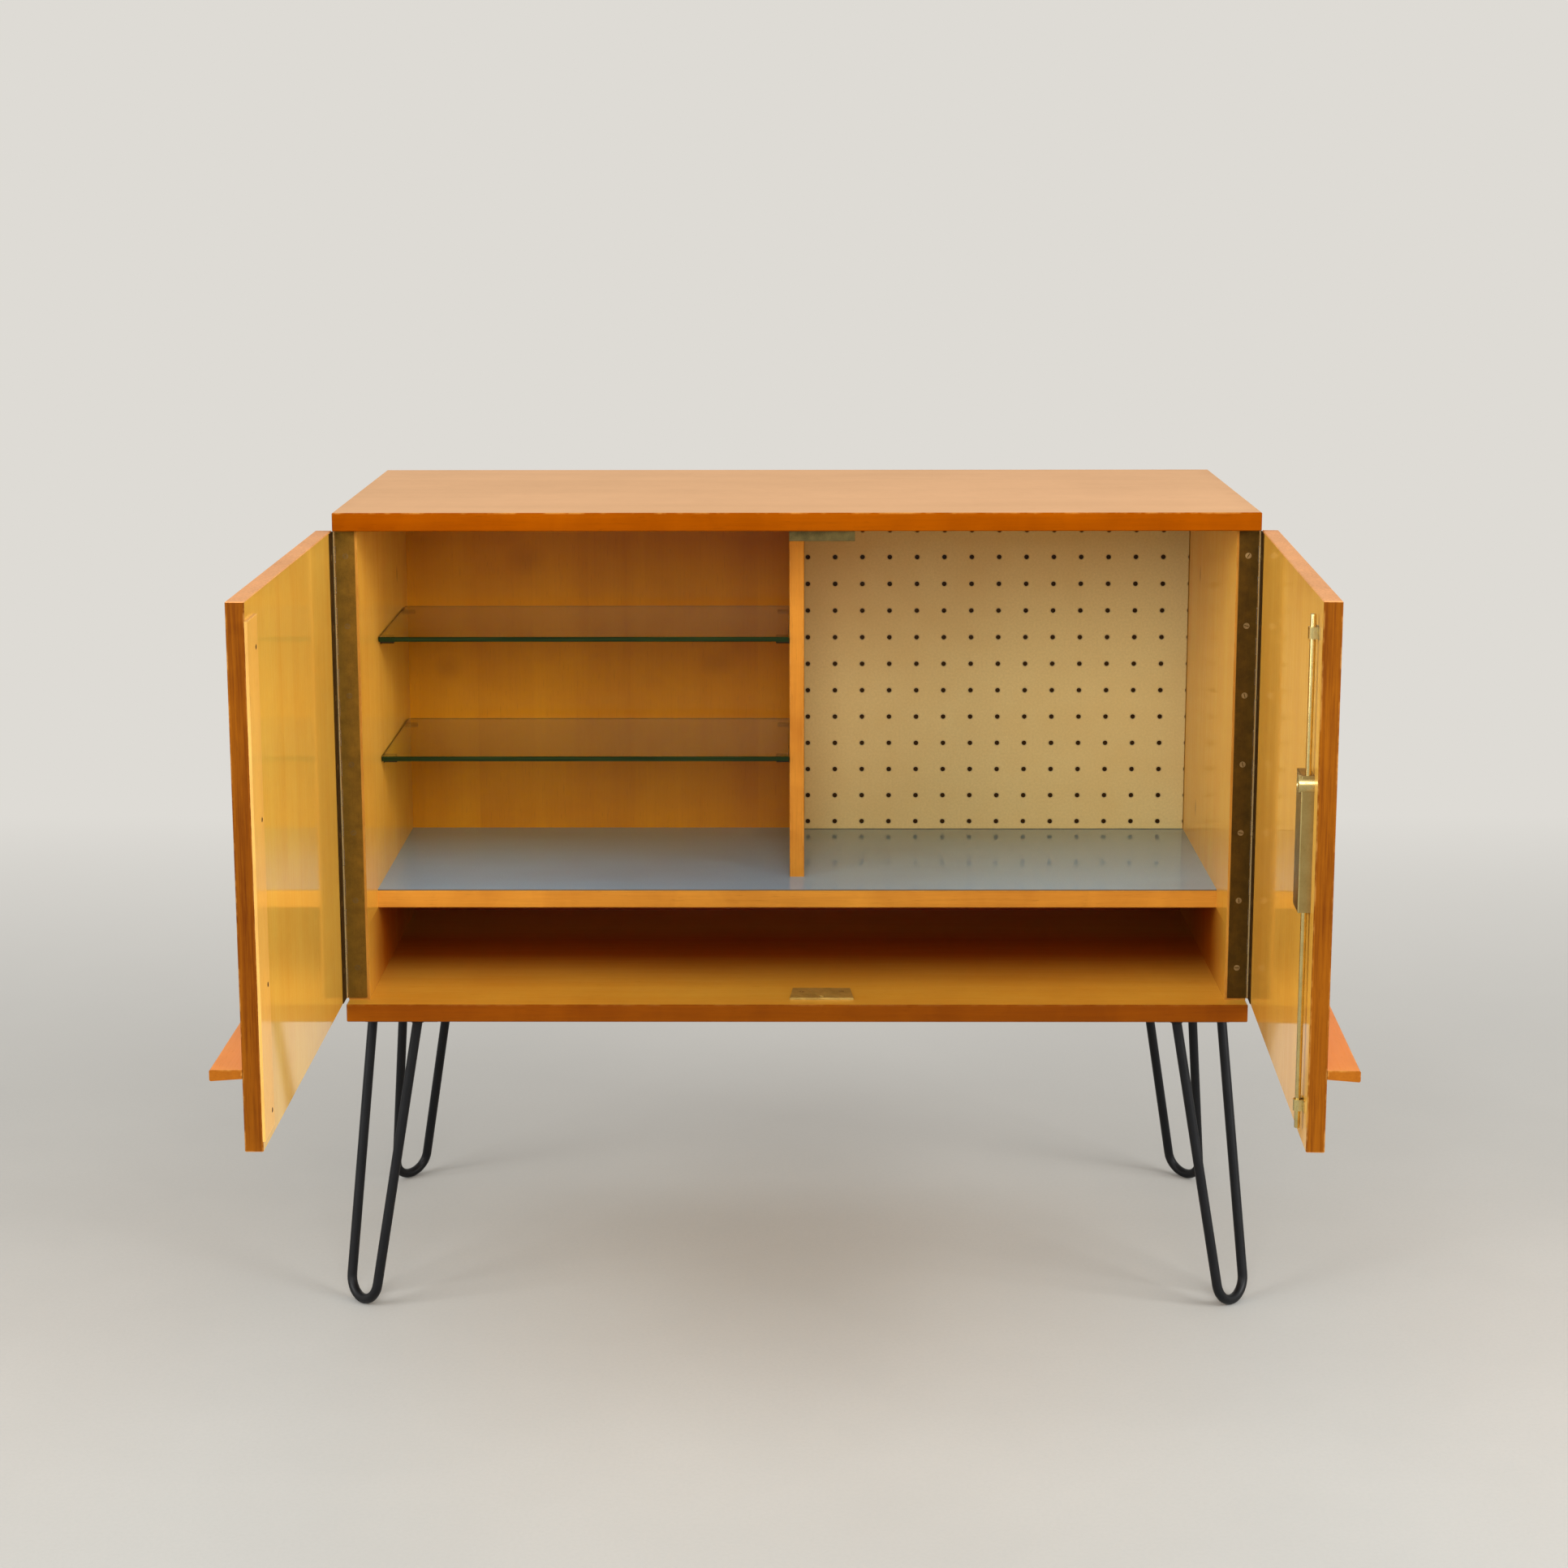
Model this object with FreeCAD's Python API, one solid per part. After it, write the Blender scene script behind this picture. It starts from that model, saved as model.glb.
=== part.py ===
import FreeCAD, Part
import math
import os

from FreeCAD import Placement, Rotation, Vector

# A two-door storage cabinet on four hairpin legs, in millimetres.
# X runs to the right as seen from the front, Y runs from the front to the back and Z runs up.
# The origin is on the floor, under the middle of the box.

# Carcass
width = 900.0
depth = 380.0
box_height = 512.0
leg_height = 300.0
board = 18.0
side = 21.0
shelf = 18.0
divider = 15.0
laminate = 1.2
back = 8.0
back_recess = 8.0
back_lap = 8.0
lower_room = 76.0
shelf_setback = 90.0
divider_setback = 143.0
edge_break = 0.8

# Pegboard: holes on a square grid that starts near the divider and near the shelf
peg_board = 3.2
peg_standoff = 4.0
peg_play = 0.4
peg_hole = 5.4
peg_pitch = 30.0
peg_first_column = 6.0
peg_first_row = 9.0
peg_sides = 5
batten = 19.0
batten_bays = (0, 6, 12)

# Glass shelves on pins
glass = 5.0
glass_setback = 137.0
glass_rear_gap = 22.0
glass_play = 0.75
glass_first = 129.0
glass_pitch = 125.0
pin_dia = 5.0
pin_stick_out = 14.0
pin_bury = 10.0
pin_from_glass_edge = 20.0
pin_gap = 0.1

# Doors, with the angles at which they stand open
door = 16.0
door_gap = 1.0
centre_gap = 2.0
left_open = 90.0
right_open = 87.5
ledge_out = 28.0
ledge_tip = 10.0
ledge_root = 8.0
ledge_height = 73.0
ledge_round = 1.5

# Continuous hinges
leaf = 0.8
leaf_gap = 0.2
leaf_width = 20.5
knuckle_dia = 3.6
hinge_pin_dia = 2.0
hinge_play = 0.06
hinge_end = 1.0
knuckle_count = 9
knuckle_gap = 0.3
knuckle_clear = 0.1

# Closing strip on the left door
strip_width = 44.0
strip = 3.0
strip_lap = 5.0
strip_relief = 0.5
strip_top = 16.0
strip_bottom = 11.0

# Rod lock on the right door
rod_dia = 5.0
rod_play = 0.06
rod_inset = 24.0
rod_standoff = 5.0
rod_tip = 14.0
rod_travel = 20.0
rod_nose = 1.2
case_width = 32.0
case_height = 118.0
case_deep = 11.0
case_wall = 1.5
case_side_room = 0.3
case_middle = 264.0
barrel_dia = 14.0
barrel_proud = 1.8
barrel_side = 1.0
gear_module = 1.0
gear_teeth = 14
gear_thick = 5.0
gear_backlash = 0.16
tooth_high = 0.8
tooth_deep = 1.05
pressure_angle = 20.0
rack_thick = 4.0
rack_bar = 3.0
rack_reach = 8.0
hub_dia = 6.0
hub_play = 0.05
hub_sink = 4.0
key_slot = 1.6
key_slot_deep = 3.0
guide_height = 10.0
guide_wall = 1.5
guide_foot = 5.0
guide_foot_thick = 1.2
upper_guide = 30.0
lower_guide = 35.0
keyplate_width = 14.0
keyplate_height = 32.0
keyplate = 1.2
keyhole_dia = 4.4
keyhole_slot = 2.2
keyhole_drop = 7.0

# Strike plates behind the doors' meeting edges
strike_width = 64.0
strike_taper = 3.0
strike_deep = 36.0
strike = 2.2
strike_clear = 0.9
strike_lip = 12.0
strike_lip_thick = 1.2
strike_hole = 5.8
strike_bore = 8.0

# Hairpin legs
leg_rod = 10.0
leg_bend = 21.5
leg_spread = 73.0
leg_inset = 43.0
leg_lean = 10.0
leg_plate = 3.0
plate_size = 84.0
plate_edge = 6.0
plate_cut = 40.0
plate_corner = 8.0

# Flats that stand for round on the small and the repeated round pieces
screw_sides = 6
round_sides = 12
leg_sides = 10

# Screws: head width, shank width, head depth and length of each kind
hinge_screw = (6.0, 2.6, 1.6, 14.0)
hinge_screw_count = 7
hinge_screw_end = 28.0
hinge_screw_line = 11.5
leg_screw = (8.0, 4.0, 3.0, 16.0)
leg_screw_spots = ((16.0, 16.0), (42.0, 42.0), (74.0, 36.0), (36.0, 74.0))
case_screw = (5.6, 2.6, 1.4, 20.0)
case_screw_inset = 5.0
case_screw_end = 9.0
guide_screw = (4.4, 2.0, 1.1, 10.0)
strike_screw = (6.0, 2.8, 1.6, 14.0)
strike_screw_spots = ((-20.0, 22.0), (20.0, 22.0))
keyplate_screw = (3.6, 1.6, 0.9, 8.0)
keyplate_screw_end = 4.0

# Places worked out from the sizes
half = width / 2
front = -depth / 2
rear = depth / 2
box_bottom = leg_height
box_top = leg_height + box_height
floor_top = box_bottom + board
ceiling = box_top - board
inner_half = half - side
shelf_bottom = floor_top + lower_room
shelf_top = shelf_bottom + shelf
laminate_top = shelf_top + laminate
back_front = rear - back_recess - back
side_front = front + door + 2 * leaf + leaf_gap
glass_front = front + glass_setback
glass_rear = back_front - glass_rear_gap
door_inner = front + door
door_bottom = floor_top + door_gap
door_top = ceiling - door_gap
door_height = door_top - door_bottom
hinge_x = half + knuckle_dia / 2 + knuckle_clear
hinge_y = front + door + leaf + leaf_gap / 2
rod_x = centre_gap / 2 + rod_inset
rod_y = door_inner + rod_standoff
pitch_radius = gear_module * gear_teeth / 2
rack_line = rack_bar / 2
gear_x = rod_x + rack_line + pitch_radius
gear_z = door_bottom + case_middle
case_left = rod_x - rack_line - tooth_deep - case_side_room - case_wall

parts = {}


def block(x0, x1, y0, y1, z0, z1):
    """A square-edged block between two corners, given in any order."""
    corner = Vector(min(x0, x1), min(y0, y1), min(z0, z1))
    return Part.makeBox(abs(x1 - x0), abs(y1 - y0), abs(z1 - z0), corner)


def rod(diameter, start, end):
    """A round rod from one point to another."""
    return Part.makeCylinder(diameter / 2, (end - start).Length, start, end - start)


def flat_sided(sides, diameter, start, end):
    """A rod with flats: diameter is measured across them."""
    along = end - start
    level = Vector(0, 1, 0) if abs(along.z) > abs(along.y) else Vector(0, 0, 1)
    across = along.cross(level).normalize()
    up = along.cross(across).normalize()
    outline = corners(sides, diameter / 2 / math.cos(math.pi / sides), start, across, up)
    return Part.Face(polygon(outline)).extrude(along)


def soften(shape, size, chosen):
    """Takes the sharpness off the edges for which chosen is true."""
    return shape.makeChamfer(size, [edge for edge in shape.Edges if chosen(edge)])


def on_plane(edge, axis, value):
    """Whether both ends of an edge lie at one value along X, Y or Z (0, 1 or 2)."""
    return all(abs(vertex.Point[axis] - value) < 0.01 for vertex in edge.Vertexes)


def polygon(points):
    """A closed flat outline through points."""
    return Part.Wire(Part.makePolygon(list(points) + [points[0]]))


def corners(sides, radius, centre, across, up):
    """The corners of a regular outline, on a circle."""
    angles = [2 * math.pi * (number + 0.5) / sides for number in range(sides)]
    return [centre + across * (radius * math.cos(a)) + up * (radius * math.sin(a)) for a in angles]


def screw(kind, place, inward):
    """A countersunk screw with its head's face at place, going inward."""
    head, shank, sink, length = kind
    across, up = Vector(1, 0, 0), Vector(0, 1, 0)
    steps = ((head, 0.0), (shank, sink), (shank, length))
    rings = [corners(screw_sides, size / 2, Vector(0, 0, z), across, up) for size, z in steps]
    outlines = [rings[0], rings[-1]]
    for lower, upper in zip(rings, rings[1:]):
        for number in range(screw_sides):
            after = (number + 1) % screw_sides
            outlines.append([lower[number], lower[after], upper[after], upper[number]])
    body = Part.makeSolid(Part.makeShell([Part.Face(polygon(points)) for points in outlines]))
    body.Placement = Placement(place, Rotation(Vector(0, 0, 1), inward))
    return body


def group(shapes):
    """Separate solids that are kept in one file."""
    return Part.makeCompound([solid for shape in shapes for solid in shape.Solids])


def swing(shape, hand):
    """Turns what is on a shut door to where the door stands open: hand is -1 at the left, 1 at the right."""
    angle = right_open if hand > 0 else -left_open
    turned = shape.copy()
    turned.rotate(Vector(hand * hinge_x, hinge_y, 0), Vector(0, 0, 1), angle)
    return turned


def side_panel(hand):
    """A side between the top and bottom boards, rebated for the back panel."""
    panel = block(hand * inner_half, hand * half, side_front, rear, floor_top, ceiling)
    outer = soften(panel, edge_break, lambda e: on_plane(e, 0, hand * half) and on_plane(e, 1, rear))
    lap = inner_half + back_lap
    rebate = block(hand * inner_half, hand * lap, back_front, rear, floor_top, ceiling)
    return outer.cut(rebate)


def long_board(z0, z1, face, strike_hole_depth):
    """The top or bottom board; face is the height of its inner face, and inner is up or down."""
    panel = block(-half, half, front, rear, z0, z1)
    panel = soften(panel, edge_break, lambda e: not on_plane(e, 2, face) or not on_plane(e, 1, rear))
    outward = 1 if face == z0 else -1
    lap = inner_half + back_lap
    rebate = block(-lap, lap, back_front, rear, face, face + outward * back_lap)
    mouth = Vector(rod_x, rod_y, face)
    bore = flat_sided(round_sides, strike_hole, mouth, mouth + Vector(0, 0, outward * strike_hole_depth))
    return panel.cut(rebate).cut(bore)


def make_carcass():
    """The boards, the sides, the shelf, the divider and the back."""
    parts["top_board"] = long_board(ceiling, box_top, ceiling, strike_bore)
    parts["bottom_board"] = long_board(box_bottom, floor_top, floor_top, strike_bore)
    pins = group(shelf_pins())
    parts["left_side_panel"] = side_panel(-1).cut(pins)
    parts["right_side_panel"] = side_panel(1)
    shelf_front = front + shelf_setback
    base = block(-inner_half, inner_half, shelf_front, back_front, shelf_bottom, shelf_top)
    parts["middle_shelf"] = soften(
        base, edge_break, lambda e: on_plane(e, 1, shelf_front) and on_plane(e, 2, shelf_bottom))
    parts["shelf_laminate"] = block(
        -inner_half, inner_half, shelf_front, back_front, shelf_top, laminate_top)
    divider_front = front + divider_setback
    upright = block(-divider / 2, divider / 2, divider_front, back_front, laminate_top, ceiling)
    upright = soften(
        upright, edge_break,
        lambda e: on_plane(e, 1, divider_front) and not on_plane(e, 2, ceiling)
        and not on_plane(e, 2, laminate_top))
    parts["divider_panel"] = upright.cut(pins)
    lap = inner_half + back_lap
    parts["back_panel"] = block(
        -lap, lap, back_front, back_front + back, floor_top - back_lap, ceiling + back_lap)


def make_pegboard():
    """The perforated board on its upright battens, in front of the back panel."""
    x0 = divider / 2 + peg_play
    x1 = inner_half - peg_play
    z0 = laminate_top + peg_play
    z1 = ceiling - peg_play
    y1 = back_front - peg_standoff
    y0 = y1 - peg_board
    first_x = divider / 2 + peg_first_column
    first_z = laminate_top + peg_first_row
    columns = int((x1 - peg_hole - first_x) / peg_pitch) + 1
    rows = int((z1 - peg_hole - first_z) / peg_pitch) + 1
    sheet = [Vector(x0, y0, z0), Vector(x1, y0, z0), Vector(x1, y0, z1), Vector(x0, y0, z1)]
    spots = [Vector(first_x + peg_pitch * column, y0, first_z + peg_pitch * row)
             for column in range(columns) for row in range(rows)]
    across, up = Vector(1, 0, 0), Vector(0, 0, 1)
    holes = [polygon(corners(peg_sides, peg_hole / 2, spot, across, up)) for spot in spots]
    parts["pegboard"] = Part.Face([polygon(sheet)] + holes).extrude(Vector(0, peg_board, 0))
    strips = []
    for bay in batten_bays:
        middle = first_x + peg_pitch * (bay + 0.5)
        strips.append(block(middle - batten / 2, middle + batten / 2, y1, back_front, z0, z1))
    parts["pegboard_battens"] = group(strips)


def glass_tops():
    """The heights of the glass shelves' upper faces."""
    return [laminate_top + glass_first + glass_pitch * number for number in range(2)]


def shelf_pins():
    """Four pins under each glass shelf, pressed into the left side and the divider."""
    pins = []
    for top in glass_tops():
        z = top - glass - pin_gap - pin_dia / 2
        for y in (glass_front + pin_from_glass_edge, glass_rear - pin_from_glass_edge):
            for face, inward in ((-inner_half, 1), (-divider / 2, -1)):
                sunk = Vector(face - inward * pin_bury, y, z)
                tip = Vector(face + inward * pin_stick_out, y, z)
                pins.append(flat_sided(round_sides, pin_dia, sunk, tip))
    return pins


def make_glass():
    """The two glass shelves and their pins."""
    parts["shelf_pins"] = group(shelf_pins())
    names = ("lower_glass_shelf", "upper_glass_shelf")
    for name, top in zip(names, glass_tops()):
        parts[name] = block(
            -inner_half + glass_play, -divider / 2 - glass_play,
            glass_front, glass_rear, top - glass, top)


def door_panel(hand):
    """A shut door between the boards, flush with their front edges."""
    panel = block(hand * centre_gap / 2, hand * half, front, door_inner, door_bottom, door_top)
    return soften(panel, edge_break, lambda e: True)


def ledge(hand):
    """The full-width finger ledge on a door's outer face, thicker at its tip than at its root."""
    top = door_bottom + ledge_height
    profile = polygon([
        Vector(hand * centre_gap / 2, front, top),
        Vector(hand * centre_gap / 2, front - ledge_out, top),
        Vector(hand * centre_gap / 2, front - ledge_out, top - ledge_tip),
        Vector(hand * centre_gap / 2, front, top - ledge_root)])
    bar = Part.Face(profile).extrude(Vector(hand * (half - centre_gap / 2), 0, 0))
    return bar.makeFillet(ledge_round, [e for e in bar.Edges if on_plane(e, 1, front - ledge_out)
                                        and not on_plane(e, 0, e.Vertexes[0].X)])


def hinge_screws(hand, on_door):
    """The row of screws through one leaf of a hinge."""
    middle = (door_bottom + door_top) / 2
    length = door_height - 2 * hinge_end
    step = (length - 2 * hinge_screw_end) / (hinge_screw_count - 1)
    x = hand * (hinge_x - hinge_screw_line)
    face = door_inner + leaf if on_door else side_front - leaf
    inward = Vector(0, -1, 0) if on_door else Vector(0, 1, 0)
    first = middle - step * (hinge_screw_count - 1) / 2
    return group([screw(hinge_screw, Vector(x, face, first + step * number), inward)
                  for number in range(hinge_screw_count)])


def hinge_leaf(hand, on_door):
    """One leaf of a continuous hinge, with every second knuckle of the row."""
    y0 = door_inner if on_door else side_front - leaf
    notch = knuckle_dia / 2 + knuckle_gap
    z0 = door_bottom + hinge_end
    z1 = door_top - hinge_end
    pitch = (z1 - z0) / knuckle_count
    plate = block(hand * (hinge_x - notch), hand * (hinge_x - leaf_width), y0, y0 + leaf, z0, z1)
    pieces = []
    for number in range(1 if on_door else 0, knuckle_count, 2):
        low = z0 + pitch * number + knuckle_gap / 2
        high = low + pitch - knuckle_gap
        foot = Vector(hand * hinge_x, hinge_y, low)
        pieces.append(flat_sided(round_sides, knuckle_dia, foot, foot + Vector(0, 0, high - low)))
        pieces.append(block(hand * hinge_x, hand * (hinge_x - notch), y0, y0 + leaf, low, high))
    bore = flat_sided(round_sides, hinge_pin_dia + 2 * hinge_play, Vector(hand * hinge_x, hinge_y, z0 - 1),
                      Vector(hand * hinge_x, hinge_y, z1 + 1))
    return plate.fuse(pieces).cut(bore).removeSplitter().cut(hinge_screws(hand, on_door))


def make_hinges():
    """The frame leaves, which stay on the sides, with the pins."""
    for hand, name in ((-1, "left"), (1, "right")):
        parts[name + "_hinge_frame_leaf"] = hinge_leaf(hand, False)
        low = Vector(hand * hinge_x, hinge_y, door_bottom + hinge_end)
        high = Vector(hand * hinge_x, hinge_y, door_top - hinge_end)
        parts[name + "_hinge_pin"] = rod(hinge_pin_dia, low, high)
    parts["frame_hinge_screws"] = group([hinge_screws(-1, False), hinge_screws(1, False)])


def closing_strip():
    """The batten on the left door that laps behind the right door's edge, eased where the door meets it."""
    edge = -centre_gap / 2
    z0 = door_bottom + strip_bottom
    z1 = door_top - strip_top
    bar = block(edge + strip_lap - strip_width, edge + strip_lap, door_inner, door_inner + strip, z0, z1)
    relief = block(edge, edge + strip_lap, door_inner, door_inner + strip_relief, z0, z1)
    return soften(bar.cut(relief), edge_break / 2, lambda e: on_plane(e, 1, door_inner + strip))


def make_left_door():
    """Everything that swings with the left door."""
    shut = {
        "left_door_panel": door_panel(-1),
        "left_door_ledge": ledge(-1),
        "closing_strip": closing_strip(),
        "left_hinge_door_leaf": hinge_leaf(-1, True),
        "left_door_hinge_screws": hinge_screws(-1, True),
    }
    for name, shape in shut.items():
        parts[name] = swing(shape, -1)


def tooth_half_angle(radius):
    """Half the angle that a gear tooth takes up at a radius, on an involute flank."""
    base = pitch_radius * math.cos(math.radians(pressure_angle))

    def roll(at):
        slope = math.acos(min(1.0, base / at))
        return math.tan(slope) - slope

    at_pitch = (math.pi * gear_module / 2 - gear_backlash) / (2 * pitch_radius)
    return at_pitch + roll(pitch_radius) - roll(max(radius, base))


def lock_pinion():
    """The pinion that moves both rods, with its hub and the slot for the key."""
    root = pitch_radius - tooth_deep * gear_module
    tip = pitch_radius + tooth_high * gear_module
    base = pitch_radius * math.cos(math.radians(pressure_angle))
    flank = [root, base, tip]
    centre = Vector(gear_x, rod_y - gear_thick / 2, gear_z)
    points = []
    for tooth in range(gear_teeth):
        middle = 2 * math.pi * tooth / gear_teeth
        rising = [(r, middle - tooth_half_angle(r)) for r in flank]
        falling = [(r, middle + tooth_half_angle(r)) for r in reversed(flank)]
        for radius, angle in rising + falling:
            points.append(centre + Vector(radius * math.cos(angle), 0, radius * math.sin(angle)))
    wheel = Part.Face(polygon(points)).extrude(Vector(0, gear_thick, 0))
    near = Vector(gear_x, door_inner - hub_sink, gear_z)
    far = Vector(gear_x, door_inner + case_deep, gear_z)
    slot = block(gear_x - hub_dia, gear_x + hub_dia, near.y, near.y + key_slot_deep,
                 gear_z - key_slot / 2, gear_z + key_slot / 2)
    return wheel.fuse(rod(hub_dia, near, far)).removeSplitter().cut(slot)


def rack_teeth(line, toward, low, high):
    """A toothed bar: line is its pitch line, and toward is 1 or -1 along X, where the teeth point."""
    pitch = math.pi * gear_module
    slope = math.tan(math.radians(pressure_angle))
    root = line - toward * tooth_deep * gear_module
    tip = line + toward * tooth_high * gear_module
    back_face = line - toward * (tooth_deep * gear_module + rack_bar)
    at_pitch = (pitch / 2 - gear_backlash / 2) / 2
    at_root = at_pitch + tooth_deep * gear_module * slope
    at_tip = at_pitch - tooth_high * gear_module * slope
    y = rod_y - rack_thick / 2
    points = [Vector(back_face, y, high), Vector(back_face, y, low), Vector(root, y, low)]
    first = math.ceil((low - gear_z) / pitch + 0.5 + at_root / pitch)
    last = math.floor((high - gear_z) / pitch - 0.5 - at_root / pitch)
    for number in range(first, last + 1):
        middle = gear_z + pitch * (number + 0.5) if number < last + 1 else high
        if middle + at_root < high:
            points.append(Vector(root, y, middle - at_root))
            points.append(Vector(tip, y, middle - at_tip))
            points.append(Vector(tip, y, middle + at_tip))
            points.append(Vector(root, y, middle + at_root))
    points.append(Vector(root, y, high))
    return Part.Face(polygon(points)).extrude(Vector(0, rack_thick, 0))


def nosed_rod(inner_z, tip_z):
    """A lock rod from inside the case to its nose, which is eased to find the strike."""
    start = Vector(rod_x, rod_y, inner_z)
    end = Vector(rod_x, rod_y, tip_z)
    return soften(flat_sided(round_sides, rod_dia, start, end), rod_nose, lambda e: on_plane(e, 2, tip_z))


def upper_lock_rod():
    """The rod that rises into the top strike, with its rack on the pinion's near side."""
    low = gear_z - rod_travel - rack_reach
    high = gear_z + rack_reach
    rack = rack_teeth(gear_x - pitch_radius, 1, low, high)
    return nosed_rod(high, door_top - rod_tip).fuse(rack).removeSplitter()


def lower_lock_rod():
    """The rod that drops into the bottom strike; its rack reaches round to the pinion's far side."""
    low = gear_z - rack_reach
    high = gear_z + rod_travel + rack_reach
    line = gear_x + pitch_radius
    rack = rack_teeth(line, -1, low, high)
    root = line + tooth_deep * gear_module
    foot_top = gear_z - rod_travel - rack_reach - rack_thick
    foot_bottom = foot_top - rack_thick
    y0 = rod_y - rack_thick / 2
    y1 = rod_y + rack_thick / 2
    stem = block(root, root + rack_bar, y0, y1, foot_bottom, low)
    foot = block(rod_x - rod_dia / 2, root + rack_bar, y0, y1, foot_bottom, foot_top)
    rod_part = nosed_rod(foot_bottom + rack_thick / 2, door_bottom + rod_tip)
    return rod_part.fuse([rack, stem, foot]).removeSplitter()


def case_screw_places():
    """Where the two screws go through the lock case."""
    x = case_left + case_width - case_screw_inset
    y = door_inner + case_deep
    return [Vector(x, y, gear_z + way * (case_height / 2 - case_screw_end)) for way in (-1, 1)]


def lock_case():
    """The brass cover over the racks, open at the door's face, with the round barrel at its upper corner."""
    z0 = gear_z - case_height / 2
    z1 = gear_z + case_height / 2
    x1 = case_left + case_width
    y1 = door_inner + case_deep
    shell = block(case_left, x1, door_inner, y1, z0, z1)
    shell = soften(shell, edge_break, lambda e: on_plane(e, 1, y1))
    hollow = block(case_left + case_wall, x1 - case_wall, door_inner, y1 - case_wall,
                   z0 + case_wall, z1 - case_wall)
    centre = Vector(case_left + barrel_dia / 2 - barrel_side, door_inner, z1 - barrel_dia / 2)
    barrel = rod(barrel_dia, centre, centre + Vector(0, case_deep + barrel_proud, 0))
    barrel = soften(barrel, edge_break, lambda e: on_plane(e, 1, y1 + barrel_proud))
    up = Vector(0, 0, 1)
    start = Vector(rod_x, rod_y, gear_z)
    passage = flat_sided(
        round_sides, rod_dia + 2 * rod_play, start - up * case_height, start + up * case_height)
    near = Vector(gear_x, y1 - case_deep, gear_z)
    bearing = flat_sided(round_sides, hub_dia + 2 * hub_play, near, near + Vector(0, 2 * case_deep, 0))
    screws = group([screw(case_screw, place, Vector(0, -1, 0)) for place in case_screw_places()])
    return shell.cut(hollow).fuse(barrel).removeSplitter().cut(passage).cut(bearing).cut(screws)


def guide_spots():
    """The heights of the upper and lower rod guides' middles."""
    return door_top - upper_guide, door_bottom + lower_guide


def guide_screw_places(z):
    """The two screws of one guide."""
    reach = rod_dia / 2 + guide_wall + guide_foot / 2
    y = door_inner + guide_foot_thick
    return [Vector(rod_x + way * reach, y, z) for way in (-1, 1)]


def rod_guide(z):
    """A saddle over a rod, with a foot on each side."""
    arch = rod_dia / 2 + guide_wall
    z0 = z - guide_height / 2
    base = Vector(rod_x, rod_y, z0)
    top = flat_sided(round_sides, 2 * arch, base, base + Vector(0, 0, guide_height))
    legs = block(rod_x - arch, rod_x + arch, door_inner, rod_y, z0, z0 + guide_height)
    reach = arch + guide_foot
    feet = block(rod_x - reach, rod_x + reach, door_inner, door_inner + guide_foot_thick,
                 z0, z0 + guide_height)
    bore_r = rod_dia / 2 + rod_play
    bore = flat_sided(round_sides, 2 * bore_r, base, base + Vector(0, 0, guide_height))
    slot = block(rod_x - bore_r, rod_x + bore_r, door_inner, rod_y, z0, z0 + guide_height)
    screws = group([screw(guide_screw, place, Vector(0, -1, 0)) for place in guide_screw_places(z)])
    return top.fuse([legs, feet]).removeSplitter().cut(bore).cut(slot).cut(screws)


def keyplate_screw_places():
    """The two pins of the keyhole plate."""
    reach = keyplate_height / 2 - keyplate_screw_end
    return [Vector(gear_x, front - keyplate, gear_z + way * reach) for way in (-1, 1)]


def keyhole_plate():
    """The round-ended plate round the keyhole, on the door's outer face."""
    straight = (keyplate_height - keyplate_width) / 2
    y0 = front - keyplate
    plate = block(gear_x - keyplate_width / 2, gear_x + keyplate_width / 2, y0, front,
                  gear_z - straight, gear_z + straight)
    ends = [flat_sided(round_sides, keyplate_width, Vector(gear_x, y0, gear_z + way * straight),
                       Vector(gear_x, front, gear_z + way * straight)) for way in (-1, 1)]
    plate = plate.fuse(ends).removeSplitter()
    eye = flat_sided(round_sides, keyhole_dia, Vector(gear_x, y0, gear_z), Vector(gear_x, front, gear_z))
    slot = block(gear_x - keyhole_slot / 2, gear_x + keyhole_slot / 2, y0, front,
                 gear_z - keyhole_drop, gear_z)
    screws = group([screw(keyplate_screw, place, Vector(0, 1, 0)) for place in keyplate_screw_places()])
    return plate.cut(eye.fuse(slot)).cut(screws)


def make_right_door():
    """Everything that swings with the right door, and the lock that it carries."""
    outside, inside = Vector(gear_x, front, gear_z), Vector(gear_x, door_inner, gear_z)
    hub_hole = flat_sided(round_sides, hub_dia + 2 * hub_play, outside, inside)
    upper_z, lower_z = guide_spots()
    inward = Vector(0, -1, 0)
    lock_screws = [screw(case_screw, place, inward) for place in case_screw_places()]
    for z in (upper_z, lower_z):
        lock_screws += [screw(guide_screw, place, inward) for place in guide_screw_places(z)]
    lock_screws += [screw(keyplate_screw, place, Vector(0, 1, 0)) for place in keyplate_screw_places()]
    shut = {
        "right_door_panel": door_panel(1).cut(hub_hole),
        "right_door_ledge": ledge(1),
        "right_hinge_door_leaf": hinge_leaf(1, True),
        "right_door_hinge_screws": hinge_screws(1, True),
        "lock_case": lock_case(),
        "upper_rod_guide": rod_guide(upper_z),
        "lower_rod_guide": rod_guide(lower_z),
        "keyhole_plate": keyhole_plate(),
        "lock_screws": group(lock_screws),
        "upper_lock_rod": upper_lock_rod(),
        "lower_lock_rod": lower_lock_rod(),
        "lock_pinion": lock_pinion(),
    }
    for name, shape in shut.items():
        parts[name] = swing(shape, 1)


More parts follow.
